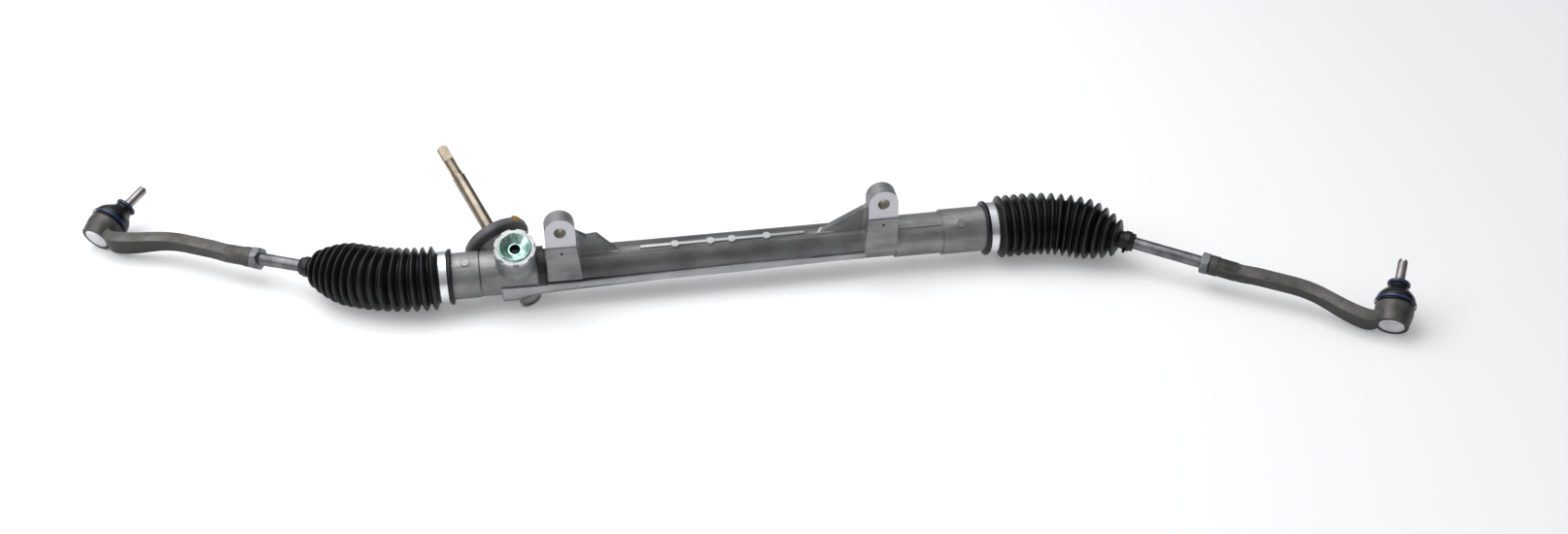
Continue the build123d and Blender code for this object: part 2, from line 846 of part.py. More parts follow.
def flare(height, angle, neck):
    """Radius that a neck needs at a height when it leans over by an angle in radians."""
    return height * tan(angle) + neck / cos(angle) + free_gap


def inner_socket(side):
    """Socket screwed into the end of the rack, flared so that the rod can swing."""
    screw_end = edge - socket_back - lock_washer - stud_hole_depth
    top = socket_nose + overrun
    low_flare = flare(0, full_swing, rod_neck_r)
    top_flare = flare(top, full_swing, rod_neck_r)
    with BuildPart() as socket:
        turn(
            side.socket,
            [
                (0, screw_end),
                (stud_hole_r, screw_end),
                (stud_hole_r, -socket_back),
                (socket_r - socket_step, -socket_back),
                (socket_r - socket_step, -cavity_r),
                (socket_r, -cavity_r + socket_step),
                (socket_r, socket_nose / 2),
                (socket_r - socket_nose_bevel, socket_nose),
                (0, socket_nose),
            ],
        )
        globe(side.socket, cavity_r, Mode.SUBTRACT)
        turn(side.socket, [(0, 0), (low_flare, 0), (top_flare, top), (0, top)], Mode.SUBTRACT)
    save(socket.part, f"inner_joint_socket_{side.name}")


def socket_washer(side):
    """Lock washer between the rack's end and the socket."""
    with BuildPart() as washer:
        bar(side.socket, socket_r - socket_step / 2, -socket_back - lock_washer, -socket_back)
        bar(side.socket, stud_hole_r + fit_gap, -socket_back - lock_washer, -socket_back, Mode.SUBTRACT)
    save(washer.part, f"socket_lock_washer_{side.name}")


def inner_ball_seat(side):
    """Plastic shell between the rod's ball and the socket."""
    with BuildPart() as seat:
        globe(side.rod, inner_seat_r)
        globe(side.rod, inner_ball_r + running_gap, Mode.SUBTRACT)
        bar(side.rod, nod_room, 0, inner_seat_r + overrun, Mode.SUBTRACT)
    save(seat.part, f"inner_ball_seat_{side.name}")


# Tie rods with their jam nuts
sleeve_start = nut_station + nut_height
thread_depth = sleeve_length - thread_end


def tie_rod(side):
    """Rod with the inner ball at one end and the adjusting thread at the other."""
    reach = sleeve_start + thread_depth
    neck = inner_ball_r + rod_neck_length
    with BuildPart() as rod:
        globe(side.rod, inner_ball_r)
        turn(
            side.rod,
            [
                (0, 0),
                (rod_neck_r, 0),
                (rod_neck_r, neck),
                (rod_r, neck + rod_neck_taper),
                (rod_r, reach - edge),
                (rod_r - edge, reach),
                (0, reach),
            ],
        )
    save(rod.part, f"tie_rod_{side.name}")


def jam_nut(side):
    """Hexagon nut that locks the rod in the rod end."""
    corner = nut_width / sqrt(3) + overrun
    slim = nut_width / 2 - nut_bevel
    rise = (corner - slim) * nut_bevel_slope
    with BuildPart() as nut:
        with BuildSketch(side.rod.offset(nut_station)) as hexagon:
            RegularPolygon(nut_width / 2, 6, major_radius=False)
        extrude(hexagon.sketch, amount=nut_height)
        turn(
            side.rod,
            [
                (0, nut_station),
                (slim, nut_station),
                (corner, nut_station + rise),
                (corner, sleeve_start - rise),
                (slim, sleeve_start),
                (0, sleeve_start),
            ],
            Mode.INTERSECT,
        )
        bar(side.rod, rod_r + fit_gap, nut_station - overrun, sleeve_start + overrun, Mode.SUBTRACT)
    save(nut.part, f"jam_nut_{side.name}")


# Rod ends: forged arms with the outer ball joints
outer_seat_r = ball_r + running_gap + seat_wall
outer_cavity_r = outer_seat_r + running_gap
sleeve_end = sleeve_start + sleeve_length
end_cap_r = outer_cavity_r + cap_lap
arm_start = sleeve_end - sleeve_nose / 2
arm_end = end_station - neck_station


def arm_section(side, station, lift=0.0):
    """Six-sided section of the arm, which rises, then drops in a crank to the ball housing."""
    share = min(1.0, (station - arm_start) / (arm_end - arm_start))
    crank = max(0.0, (share - crank_start) / (1 - crank_start))
    fall = crank * crank * (3 - 2 * crank)
    middle = arm_rise * sin(pi * share) - neck_drop * fall + lift
    half = arm_height / 2
    parting = (arm_width + (neck_width - arm_width) * fall) / 2
    crest = parting - half * tan(radians(arm_draft))
    with BuildSketch(side.rod.offset(station)) as section:
        Polygon(
            (middle + half, crest),
            (middle, parting),
            (middle - half, crest),
            (middle - half, -crest),
            (middle, -parting),
            (middle + half, -crest),
            align=None,
        )
    return section.sketch


def rod_end(side):
    """Forging with a tapped sleeve, a cranked drafted arm and the ball housing."""
    collar_r = sleeve_r + sleeve_collar_step
    collar_end = sleeve_start + sleeve_collar
    lean = radians(stud_limit)
    step = (arm_end - arm_start) / arm_sections
    with BuildPart() as forging:
        turn(
            side.rod,
            [
                (0, sleeve_start),
                (collar_r - edge, sleeve_start),
                (collar_r, sleeve_start + edge),
                (collar_r, collar_end - edge),
                (sleeve_r, collar_end),
                (sleeve_r, sleeve_end - sleeve_nose / 2),
                (sleeve_r / 2, sleeve_end + sleeve_nose / 2),
                (0, sleeve_end + sleeve_nose / 2),
            ],
        )
        faces = [arm_section(side, arm_start + index * step) for index in range(arm_sections + 1)]
        faces.append(arm_section(side, arm_end + step, neck_rise))
        loft(faces)
        turn(
            side.end,
            [
                (0, -end_base),
                (end_base_r, -end_base),
                (end_housing_r - end_lip, end_top - end_rim),
                (end_housing_r - end_lip, end_top - end_bevel),
                (end_housing_r - end_bevel, end_top),
                (0, end_top),
            ],
        )
        thread_top = sleeve_start + thread_depth + overrun
        bar(side.rod, rod_r + fit_gap, sleeve_start - overrun, thread_top, Mode.SUBTRACT)
        globe(side.end, outer_cavity_r, Mode.SUBTRACT)
        bar(side.end, outer_cavity_r - edge, -end_base - overrun, 0, Mode.SUBTRACT)
        bar(side.end, end_cap_r + fit_gap, -end_base - overrun, cap_gauge - end_base, Mode.SUBTRACT)
        turn(
            side.end,
            [
                (0, 0),
                (flare(0, lean, stud_neck_r), 0),
                (flare(end_top + overrun, lean, stud_neck_r), end_top + overrun),
                (0, end_top + overrun),
            ],
            Mode.SUBTRACT,
        )
    save(forging.part, f"rod_end_{side.name}")


def end_cap(side):
    """Pressed steel cap that closes the ball housing."""
    dent = cap_dent - end_base
    with BuildPart() as cap:
        bar(side.end, end_cap_r, -end_base, cap_gauge - end_base)
        turn(
            side.end,
            [(0, -end_base), (end_cap_r - cap_rim, -end_base), (end_cap_r - cap_rim - edge, dent), (0, dent)],
            Mode.SUBTRACT,
        )
    save(cap.part, f"ball_joint_cap_{side.name}")


def stud_seat(side):
    """Plastic shell that the outer ball turns in."""
    with BuildPart() as seat:
        globe(side.stud, outer_seat_r)
        globe(side.stud, ball_r + running_gap, Mode.SUBTRACT)
        bar(side.stud, stud_neck_r + free_gap, 0, outer_seat_r + overrun, Mode.SUBTRACT)
    save(seat.part, f"stud_seat_{side.name}")


stud_shoulder = end_top + stud_shoulder_rise
collar_start = end_top + dust_boot_height
taper_end = collar_start + dust_collar_height + edge


def taper_r(height):
    """Radius of the stud's taper at a height above the ball."""
    share = (height - stud_shoulder) / (taper_end - stud_shoulder)
    return stud_taper_r + share * (stud_thread_r + stud_taper_step - stud_taper_r)


def ball_stud(side):
    """Ball stud with its taper, thread and slotted tip."""
    with BuildPart() as stud:
        globe(side.stud, ball_r)
        turn(
            side.stud,
            [
                (0, 0),
                (stud_neck_r, 0),
                (stud_neck_r, end_top + stud_neck_rise),
                (stud_taper_r, stud_shoulder),
                (stud_thread_r + stud_taper_step, taper_end),
                (stud_thread_r, taper_end),
                (stud_thread_r, stud_reach - stud_tip),
                (stud_thread_r - stud_tip_bevel, stud_reach),
                (0, stud_reach),
            ],
        )
        with BuildSketch(side.stud.offset(stud_reach)) as slot:
            Rectangle(stud_slot, 4 * stud_thread_r)
        extrude(slot.sketch, amount=-stud_slot, mode=Mode.SUBTRACT)
    save(stud.part, f"ball_stud_{side.name}")


def leaning(side, share):
    """Plane at the outer ball that leans a share of the way from the housing to the stud."""
    turned = Axis((0, 0, 0), side.along.cross(side.up))
    angle = share * side.lean
    return Plane(
        origin=side.ball,
        x_dir=side.end.x_dir.rotate(turned, angle),
        z_dir=side.end_dir.rotate(turned, angle),
    )


def dust_boot(side):
    """Rubber boot from the ball housing up to the stud."""
    neck_hole = taper_r(collar_start) + edge
    top = dust_boot_height
    outside = [
        (0, end_housing_r - edge, 0),
        (0, end_housing_r, dust_foot),
        (0.2, end_housing_r - edge, dust_belly),
        (0.6, dust_neck_r, dust_neck),
        (1, dust_collar_r - edge, top - edge),
        (1, dust_collar_r - 2 * edge, top),
    ]
    inside = [
        (0, end_housing_r - dust_wall - edge, 0),
        (0, end_housing_r - dust_wall, dust_foot),
        (0.2, end_housing_r - dust_wall - edge, dust_belly),
        (0.6, dust_neck_r - dust_wall, dust_neck - edge),
        (1, neck_hole, top - 2 * edge),
        (1, neck_hole, top),
    ]
    with BuildPart() as boot:
        for rings, mode in ((outside, Mode.ADD), (inside, Mode.SUBTRACT)):
            faces = []
            for share, radius, height in rings:
                with BuildSketch(leaning(side, share).offset(end_top + height)) as ring:
                    Circle(radius)
                faces.append(ring.sketch)
            loft(faces, ruled=True, mode=mode)
    save(boot.part, f"stud_dust_boot_{side.name}")


def dust_ring(side):
    """Spring ring round the foot of the dust boot."""
    inner = end_housing_r + 2 * running_gap
    outer = inner + dust_ring_gauge
    foot = end_top + dust_foot
    with BuildPart() as ring:
        turn(
            side.end,
            [
                (inner, foot - dust_ring_half),
                (outer, foot - dust_ring_half + free_gap),
                (outer, foot + dust_ring_half - free_gap),
                (inner, foot + dust_ring_half),
            ],
        )
    save(ring.part, f"dust_boot_ring_{side.name}")


def dust_collar(side):
    """Collar that holds the dust boot's neck on the stud."""
    hole = taper_r(collar_start) + free_gap
    top = collar_start + dust_collar_height
    with BuildPart() as collar:
        turn(
            side.stud,
            [
                (hole, collar_start),
                (dust_collar_r - edge, collar_start),
                (dust_collar_r, collar_start + edge),
                (dust_collar_r, top - edge),
                (dust_collar_r - edge, top),
                (hole, top),
            ],
        )
    save(collar.part, f"dust_boot_collar_{side.name}")


# Bellows boots with their bands and clips
boot_inner_r = end_r + fit_gap
boot_seat_r = boot_inner_r + boot_wall + boot_seat_step
fold_start = boot_lip + band_width + boot_land
fold_end = boot_length - boot_collar_length
fold_pitch = (fold_end - fold_start) / boot_folds


def boot_station(side, length):
    """Plane square to the boot's centre line at a length from its lip."""
    along = Vector(side.hand, 0, 0)
    inward = (side.along - along * side.along.dot(along)).normalized()
    angle = radians(side.bend)
    radius = boot_bend / tan(angle / 2)
    bend_start = abs(side.joint_x) - boot_bend - (end_x - boot_lap)
    past = length - bend_start
    if past <= 0:
        origin = side.joint - along * (boot_bend - past)
        normal = along
    elif past < radius * angle:
        turned = past / radius
        origin = side.joint - along * (boot_bend - radius * sin(turned)) + inward * radius * (1 - cos(turned))
        normal = along * cos(turned) + inward * sin(turned)
    else:
        origin = side.joint + side.along * (boot_bend + past - radius * angle)
        normal = side.along
    return Plane(origin=origin, x_dir=along.cross(inward), z_dir=normal)


def ridge_r(fold):
    """Outer radius of a fold, counted from the housing; the last folds narrow to the rod."""
    past = max(0.0, fold - (boot_folds - boot_taper_folds)) / (boot_taper_folds + 0.5)
    slim = boot_collar_r + boot_depth * slim_share
    return slim + (boot_ridge_r - slim) * sqrt(1 - past * past)


def valley_r(fold):
    """Radius of the valley before a fold."""
    return max(ridge_r(fold) - boot_depth, boot_collar_r)


def bellows(side):
    """Rubber boot from the housing's end to the rod, folded and bent with the rod."""
    outside = [(0, boot_lip_r), (boot_lip, boot_lip_r), (boot_lip + boot_lip_bevel, boot_seat_r)]
    outside.append((fold_start - boot_land + edge, boot_seat_r))
    inside = [(0, boot_inner_r), (boot_lap + edge, boot_inner_r)]
    for fold in range(boot_folds):
        start = fold_start + fold * fold_pitch
        outside.append((start, valley_r(fold)))
        outside.append((start + fold_pitch / 2, ridge_r(fold)))
        if start > boot_lap + boot_land - edge:
            inside.append((start, valley_r(fold) - boot_wall))
    outside += [(fold_end, boot_collar_r), (boot_length, boot_collar_r)]
    inside += [(fold_end, rod_r + free_gap), (boot_length, rod_r + free_gap)]
    with BuildPart() as boot:
        for rings, mode in ((outside, Mode.ADD), (inside, Mode.SUBTRACT)):
            faces = []
            for length, radius in rings:
                with BuildSketch(boot_station(side, length)) as ring:
                    Circle(radius)
                faces.append(ring.sketch)
            loft(faces, ruled=True, mode=mode)
    save(boot.part, f"bellows_boot_{side.name}")


def boot_band(side):
    """Steel band round the boot's big end, with its crimped ear at the back."""
    start = boot_lip + edge
    inner = boot_seat_r + fit_gap
    base = boot_station(side, 0)
    with BuildPart() as band:
        bar(base, inner + band_gauge, start, start + band_width)
        ear = Plane(
            origin=base.origin + base.z_dir * (start + band_width / 2) + Vector(0, inner + band_gauge / 2, 0),
            x_dir=(1, 0, 0),
            z_dir=(0, 1, 0),
        )
        with BuildSketch(ear) as tongue:
            Rectangle(band_width - edge, band_ear)
        extrude(tongue.sketch, amount=band_ear)
        bar(base, inner, start - overrun, start + band_width + overrun, Mode.SUBTRACT)
    save(band.part, f"boot_band_{side.name}")


def boot_clip(side):
    """Spring clip round the boot's small end, with two finger tabs."""
    start = boot_length - boot_collar_length / 2 - clip_width / 2
    inner = boot_collar_r + free_gap
    base = boot_station(side, start)
    with BuildPart() as clip:
        bar(base, inner + band_gauge, 0, clip_width)
        with BuildSketch(base.offset(clip_width / 4)) as tabs:
            with Locations((-clip_spread, -inner - 2 * edge), (clip_spread, -inner - 2 * edge)):
                Rectangle(clip_gauge, clip_tab)
        extrude(tabs.sketch, amount=clip_width / 2)
        bar(base, inner, -overrun, clip_width + overrun, Mode.SUBTRACT)
    save(clip.part, f"boot_clip_{side.name}")


for side in sides:
    inner_socket(side)
    socket_washer(side)
    inner_ball_seat(side)
    tie_rod(side)
    jam_nut(side)
    rod_end(side)
    end_cap(side)
    stud_seat(side)
    ball_stud(side)
    dust_boot(side)
    dust_ring(side)
    dust_collar(side)
    bellows(side)
    boot_band(side)
    boot_clip(side)
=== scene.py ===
"""Looks of a rack-and-pinion steering gear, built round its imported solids."""
import json
import logging
import math
from dataclasses import dataclass, field
from enum import Enum
from functools import reduce

import bmesh
import bpy
from mathutils import Matrix, Vector

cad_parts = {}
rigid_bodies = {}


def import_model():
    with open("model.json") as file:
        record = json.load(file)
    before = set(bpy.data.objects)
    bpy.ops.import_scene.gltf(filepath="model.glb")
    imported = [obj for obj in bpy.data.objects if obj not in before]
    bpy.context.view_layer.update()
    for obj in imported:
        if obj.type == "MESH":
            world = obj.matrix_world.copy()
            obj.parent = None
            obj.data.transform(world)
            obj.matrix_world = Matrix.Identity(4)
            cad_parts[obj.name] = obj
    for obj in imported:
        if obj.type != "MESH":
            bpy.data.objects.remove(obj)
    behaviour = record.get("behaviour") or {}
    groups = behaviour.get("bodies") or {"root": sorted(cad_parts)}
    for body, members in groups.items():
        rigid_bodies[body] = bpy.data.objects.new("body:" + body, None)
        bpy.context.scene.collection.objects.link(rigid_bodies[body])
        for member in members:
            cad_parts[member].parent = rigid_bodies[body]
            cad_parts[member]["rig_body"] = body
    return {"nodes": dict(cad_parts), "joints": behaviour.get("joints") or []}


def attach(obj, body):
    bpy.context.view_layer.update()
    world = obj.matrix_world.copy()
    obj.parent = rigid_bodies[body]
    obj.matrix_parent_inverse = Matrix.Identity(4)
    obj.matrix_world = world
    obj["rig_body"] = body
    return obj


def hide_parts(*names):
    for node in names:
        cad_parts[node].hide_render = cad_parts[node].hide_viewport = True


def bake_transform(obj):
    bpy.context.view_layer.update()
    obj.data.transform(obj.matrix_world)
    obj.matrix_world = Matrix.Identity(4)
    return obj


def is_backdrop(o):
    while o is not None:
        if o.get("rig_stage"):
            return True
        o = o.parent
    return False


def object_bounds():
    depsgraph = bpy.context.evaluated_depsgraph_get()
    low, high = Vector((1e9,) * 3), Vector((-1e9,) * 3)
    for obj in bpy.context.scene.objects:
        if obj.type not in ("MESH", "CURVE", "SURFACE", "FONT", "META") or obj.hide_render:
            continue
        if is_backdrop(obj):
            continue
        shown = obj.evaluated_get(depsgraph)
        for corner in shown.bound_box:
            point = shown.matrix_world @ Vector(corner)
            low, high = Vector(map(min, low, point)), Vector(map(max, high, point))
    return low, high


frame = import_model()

Socket = bpy.types.NodeSocket
Material = bpy.types.Material
Piece = bpy.types.Object
Colour = tuple[float, float, float]
Span = tuple[float, float]
Point = tuple[float, float]
Points = list[Point]

LOG = logging.getLogger("steering_rack")
MM = 0.001
MERGE = 1e-6
SHARP = math.radians(32)
RACK = Vector((0, 20, -55.5)) * MM


class Hand(Enum):
    """Which end of the rack a piece belongs to; the value is the sign of X there."""

    LEFT = -1
    RIGHT = 1

    @property
    def word(self) -> str:
        """Name of the side as the node names spell it."""
        return self.name.lower()


def joint(name: str) -> dict:
    """One joint of the record, by name."""
    return next(entry for entry in frame["joints"] if entry["name"] == name)


def pinion_axis() -> tuple[Vector, Vector]:
    """Foot and direction of the pinion's axis."""
    turn = joint("pinion_turn")
    return Vector(turn["pos_m"]), Vector(turn["axis"]).normalized()


# Node trees


class Shader:
    """A material's node tree with short calls for the nodes that the finishes share."""

    def __init__(self, name: str) -> None:
        """Start an empty material with a Principled shader.

        Args:
            name: The material's name.
        """
        self.material = bpy.data.materials.new(name)
        self.material.use_nodes = True
        self.tree = self.material.node_tree
        self.surface = self.tree.nodes["Principled BSDF"]
        self.coordinates = self.node("TexCoord").outputs["Object"]

    def feed(self, target: Socket, value: object) -> None:
        """Link a socket to an input, or set the input to a constant.

        Args:
            target: The input.
            value: A socket or a constant.
        """
        if isinstance(value, Socket):
            self.tree.links.new(value, target)
        else:
            target.default_value = value

    def node(self, kind: str, **inputs: object) -> bpy.types.Node:
        """Add a node and feed its inputs.

        Args:
            kind: Blender's name of the node type, without its prefix.
            **inputs: Socket or constant for each input; underscores stand for spaces.

        Returns:
            The node.
        """
        node = self.tree.nodes.new(f"ShaderNode{kind}")
        for key, value in inputs.items():
            self.feed(node.inputs[key.replace("_", " ")], value)
        return node

    def fix(self, **inputs: object) -> None:
        """Feed the Principled shader; underscores stand for spaces."""
        for key, value in inputs.items():
            self.feed(self.surface.inputs[key.replace("_", " ")], value)

    def noise(
        self,
        scale: float,
        detail: float = 4.0,
        roughness: float = 0.55,
        vector: Socket | None = None,
        swirl: float = 0.0,
    ) -> Socket:
        """Noise of a given scale per metre.

        Args:
            scale: Waves per metre.
            detail: Octaves.
            roughness: Weight of the finer octaves.
            vector: Vector socket, or None for plain Object coordinates.
            swirl: Distortion of the noise.

        Returns:
            The factor socket.
        """
        node = self.node("TexNoise", Scale=scale, Detail=detail, Roughness=roughness, Distortion=swirl)
        self.feed(node.inputs["Vector"], vector or self.coordinates)
        return node.outputs["Fac"]

    def ramp(self, factor: Socket, low: float, high: float, dark: Colour, light: Colour) -> Socket:
        """Colour ramp between two positions.

        Args:
            factor: Socket that drives the ramp.
            low: Position of the dark colour.
            high: Position of the light colour.
            dark: Colour at the low end.
            light: Colour at the high end.

        Returns:
            The colour socket.
        """
        node = self.node("ValToRGB", Fac=factor)
        first, second = node.color_ramp.elements
        first.position, first.color = low, (*dark, 1.0)
        second.position, second.color = high, (*light, 1.0)
        return node.outputs["Color"]

    def span(
        self, factor: Socket, low: float, high: float, start: float = 0.0, end: float = 1.0
    ) -> Socket:
        """Map Range node, clamped: an input from low to high gives start to end."""
        node = self.node("MapRange", Value=factor, From_Min=low, From_Max=high, To_Min=start, To_Max=end)
        return node.outputs["Result"]

    def uneven(self, noise: Socket, low: float, high: float) -> Socket:
        """Value that wanders between two levels with the middle of a noise."""
        return self.span(noise, 0.3, 0.7, low, high)

    def within(self, axis: str, reach: Span) -> Socket:
        """Mask along one coordinate, from where it is empty to where it is full."""
        return self.span(self.place(axis), *reach)

    def math(self, operation: str, first: Socket | float, second: Socket | float = 0.0) -> Socket:
        """Math node; each operand is a socket or a number.

        Args:
            operation: Blender's name of the operation.
            first: First operand.
            second: Second operand.

        Returns:
            The value socket.
        """
        node = self.node("Math")
        node.operation = operation
        for target, value in zip(node.inputs, (first, second)):
            self.feed(target, value)
        return node.outputs["Value"]

    def product(self, *masks: Socket | float) -> Socket:
        """Product of several sockets or numbers."""
        return reduce(lambda first, second: self.math("MULTIPLY", first, second), masks)

    def largest(self, *masks: Socket) -> Socket:
        """Largest of several sockets."""
        return reduce(lambda first, second: self.math("MAXIMUM", first, second), masks)

    def apart(self, first: Socket, second: Socket | float) -> Socket:
        """Distance between two values."""
        return self.math("ABSOLUTE", self.math("SUBTRACT", first, second))

    def blend(self, factor: Socket, first: Socket | Colour, second: Socket | Colour) -> Socket:
        """Mix two colours by a factor socket.

        Args:
            factor: Share of the second colour.
            first: Colour socket or tuple.
            second: Colour socket or tuple.

        Returns:
            The colour socket.
        """
        node = self.node("Mix", Factor=factor)
        node.data_type = "RGBA"
        for key, value in (("A", first), ("B", second)):
            target = next(s for s in node.inputs if s.name == key and s.type == "RGBA")
            self.feed(target, (*value, 1.0) if isinstance(value, tuple) else value)
        return next(s for s in node.outputs if s.type == "RGBA")

    def place(self, axis: str) -> Socket:
        """One coordinate of the surface, in metres."""
        return self.node("SeparateXYZ", Vector=self.coordinates).outputs[axis]

    def facing(self, axis: str) -> Socket:
        """One component of the surface's normal, which turns with the piece."""
        return self.node("SeparateXYZ", Vector=self.node("TexCoord").outputs["Normal"]).outputs[axis]

    def vectors(self, operation: str, first: Socket, second: Vector | None = None) -> bpy.types.Node:
        """Vector Math node on a socket and, where it takes two, a constant vector.

        Args:
            operation: Blender's name of the operation.
            first: First operand.
            second: Second operand, or None.

        Returns:
            The node.
        """
        node = self.node("VectorMath")
        node.operation = operation
        self.feed(node.inputs[0], first)
        if second is not None:
            self.feed(node.inputs[1], second)
        return node

    def off_axis(self, origin: Vector, axis: Vector) -> Socket:
        """Distance of the surface from a straight axis.

        Args:
            origin: A point of the axis, in metres.
            axis: Direction of the axis.

        Returns:
            The value socket, in metres.
        """
        away = self.vectors("SUBTRACT", self.coordinates, origin)
        cross = self.vectors("CROSS_PRODUCT", away.outputs["Vector"], axis.normalized())
        return self.vectors("LENGTH", cross.outputs["Vector"]).outputs["Value"]

    def bump(self, height: Socket, strength: float, distance: float, below: Socket | None = None) -> Socket:
        """Bump node.

        Args:
            height: Height socket.
            strength: Weight of the bump.
            distance: Depth in metres.
            below: Normal socket of a bump underneath, or None.

        Returns:
            The normal socket.
        """
        node = self.node("Bump", Height=height, Strength=strength, Distance=distance)
        if below is not None:
            self.feed(node.inputs["Normal"], below)
        return node.outputs["Normal"]


# Finishes


@dataclass(frozen=True)
class CastAluminium:
    """Die-cast aluminium: grainy skin, milled pads, painted shade between the lugs and in the corners, and
    a painted highlight on the parting ridge.

    Each pair of lengths runs from where a mask is empty to where it is full.
    """

    name: str = "cast_aluminium"
    dark: Colour = (0.16, 0.16, 0.164)
    light: Colour = (0.34, 0.34, 0.344)
    machined: Colour = (0.56, 0.56, 0.585)
    bored: Colour = (0.50, 0.47, 0.40)
    # Colour of the painted highlight on the parting ridge.
    ridge: Colour = (0.40, 0.40, 0.405)
    # Colour of the painted shade in the corners, pits and pip rims.
    grime: Colour = (0.035, 0.034, 0.033)
    # Share of the skin's colour kept where painted shade darkens the housing between the lugs.
    stain: float = 0.56
    stain_ends: Span = (150 * MM, 147 * MM)
    # Whether the painted shade in the corners is laid on.
    soiled: bool = True
    streak: tuple[float, float, float] = (2.0, 9.0, 9.0)
    lug_x: float = 167.5 * MM
    pad_front: Span = (0.2 * MM, 0.0)
    pad_foot: Span = (-18.0 * MM, -17.7 * MM)
    bore_r: Span = (6.6 * MM, 6.4 * MM)
    tab: Span = (-9.0 * MM, -7.0 * MM)
    cut_pitch: float = 2.2 * MM
    dimple_z: float = -24.8 * MM
    dimple_r: Span = (1.9 * MM, 1.2 * MM)
    dimple_front: Span = (2 * MM, 1 * MM)
    pips: tuple[Point, ...] = ((-266 * MM, math.radians(22.5)), (253.5 * MM, math.radians(38.5)))
    pip_r: float = 4.5 * MM
    pip_line: Span = (0.55 * MM, 0.2 * MM)
    pip_foot: Span = (-55.5 * MM, -51.5 * MM)
    pip_share: float = 0.6
    rail_x: float = -231.5 * MM
    rail_z: float = -59.4 * MM
    rail_slope: float = -0.0096
    seam_reach: Span = (2.4 * MM, 0.8 * MM)
    seam_start: Span = (-0.5 * MM, 0.5 * MM)
    seam_fade: Span = (-78 * MM, -140 * MM)
    seam_front: Span = (10 * MM, 6 * MM)
    # Slice of painted shade in the gap between the yoke boss and the lug.
    nook_x: float = -188.6 * MM
    nook_reach: Span = (6.5 * MM, 4.0 * MM)
    nook_foot: Span = (-64 * MM, -58 * MM)
    nook_share: float = 0.95
    # Slice of painted shade in the step at the shoulder.
    shoulder_x: float = -252 * MM
    shoulder_reach: Span = (1.1 * MM, 0.5 * MM)
    shoulder_foot: Span = (-66 * MM, -50 * MM)
    shoulder_share: float = 0.7
    ridge_low: Span = (20.75 * MM, 21.1 * MM)
    ridge_high: Span = (22.9 * MM, 22.4 * MM)
    ridge_foot: Span = (-47.5 * MM, -43.5 * MM)
    ridge_ends: Span = (120 * MM, 112 * MM)

    def pad(self, shader: Shader) -> Socket:
        """Mask of the milled pads round the bolt holes."""
        return shader.product(shader.within("Y", self.pad_front), shader.within("Z", self.pad_foot))

    def near(self, shader: Shader, middle: float, reach: Span) -> Socket:
        """Mask of a slice across the housing, by the distances from its middle X."""
        return shader.span(shader.apart(shader.place("X"), middle), *reach)

    def round_lugs(self, shader: Shader, height: float, reach: Span) -> Socket:
        """Mask round a line along Y at both lugs.

        Args:
            shader: The tree to add to.
            height: Z of the line.
            reach: Distances from the line where the mask is empty and full.

        Returns:
            The mask socket.
        """
        spots = [Vector((hand.value * self.lug_x, 0, height)) for hand in Hand]
        offs = [shader.off_axis(spot, Vector((0, 1, 0))) for spot in spots]
        return shader.largest(*(shader.span(off, *reach) for off in offs))

    def dimples(self, shader: Shader) -> Socket:
        """Mask of the small pits that the ejector pins left on the lugs' feet, painted dark as the shade
        inside them.
        """
        pits = self.round_lugs(shader, self.dimple_z, self.dimple_r)
        return shader.product(pits, shader.within("Y", self.dimple_front))

    def pip_rims(self, shader: Shader) -> Socket:
        """Mask of the shadow line round the ejector pips on the two barrels.

        Args:
            shader: The tree to add to.

        Returns:
            The mask socket.
        """
        masks = []
        for x, turn in self.pips:
            axis = Vector((0, -math.sin(turn), math.cos(turn)))
            off = shader.off_axis(Vector((x, RACK.y, RACK.z)), axis)
            masks.append(shader.span(shader.apart(off, self.pip_r), *self.pip_line))
        return shader.product(shader.largest(*masks), shader.within("Z", self.pip_foot))

    def seam(self, shader: Shader) -> Socket:
        """Mask of the painted shade that lies in the corner above the rail.

        Args:
            shader: The tree to add to.

        Returns:
            The mask socket.
        """
        along = shader.math("SUBTRACT", shader.place("X"), self.rail_x)
        line = shader.math("ADD", shader.product(along, self.rail_slope), self.rail_z)
        return shader.product(
            shader.span(shader.apart(shader.place("Z"), line), *self.seam_reach),
            shader.within("X", self.seam_fade),
            shader.within("Y", self.seam_front),
            shader.span(along, *self.seam_start),
            shader.span(shader.noise(60, 3), 0.25, 0.6, 0.55, 1.0),
        )

    def soil(self, shader: Shader) -> Socket:
        """Mask of all the painted shade in corners, pits and round the pips together.

        Args:
            shader: The tree to add to.

        Returns:
            The mask socket.
        """
        # Painted shade in the gap between the yoke boss and the lug.
        nook = self.near(shader, self.nook_x, self.nook_reach)
        # Painted shade in the step at the shoulder.
        step = self.near(shader, self.shoulder_x, self.shoulder_reach)
        return shader.largest(
            self.seam(shader),
            shader.product(nook, shader.within("Z", self.nook_foot), self.nook_share),
            shader.product(step, shader.within("Z", self.shoulder_foot), self.shoulder_share),
            self.dimples(shader),
            shader.product(self.pip_rims(shader), self.pip_share),
        )

    def raised(self, shader: Shader) -> Socket:
        """Mask of the parting ridge and the pips on it, which carry a painted highlight brighter than the
        tube.

        Args:
            shader: The tree to add to.

        Returns:
            The mask socket.
        """
        radius = shader.off_axis(RACK, Vector((1, 0, 0)))
        return shader.product(
            shader.span(radius, *self.ridge_low),
            shader.span(radius, *self.ridge_high),
            shader.within("Z", self.ridge_foot),
            self.near(shader, 0.0, self.ridge_ends),
        )

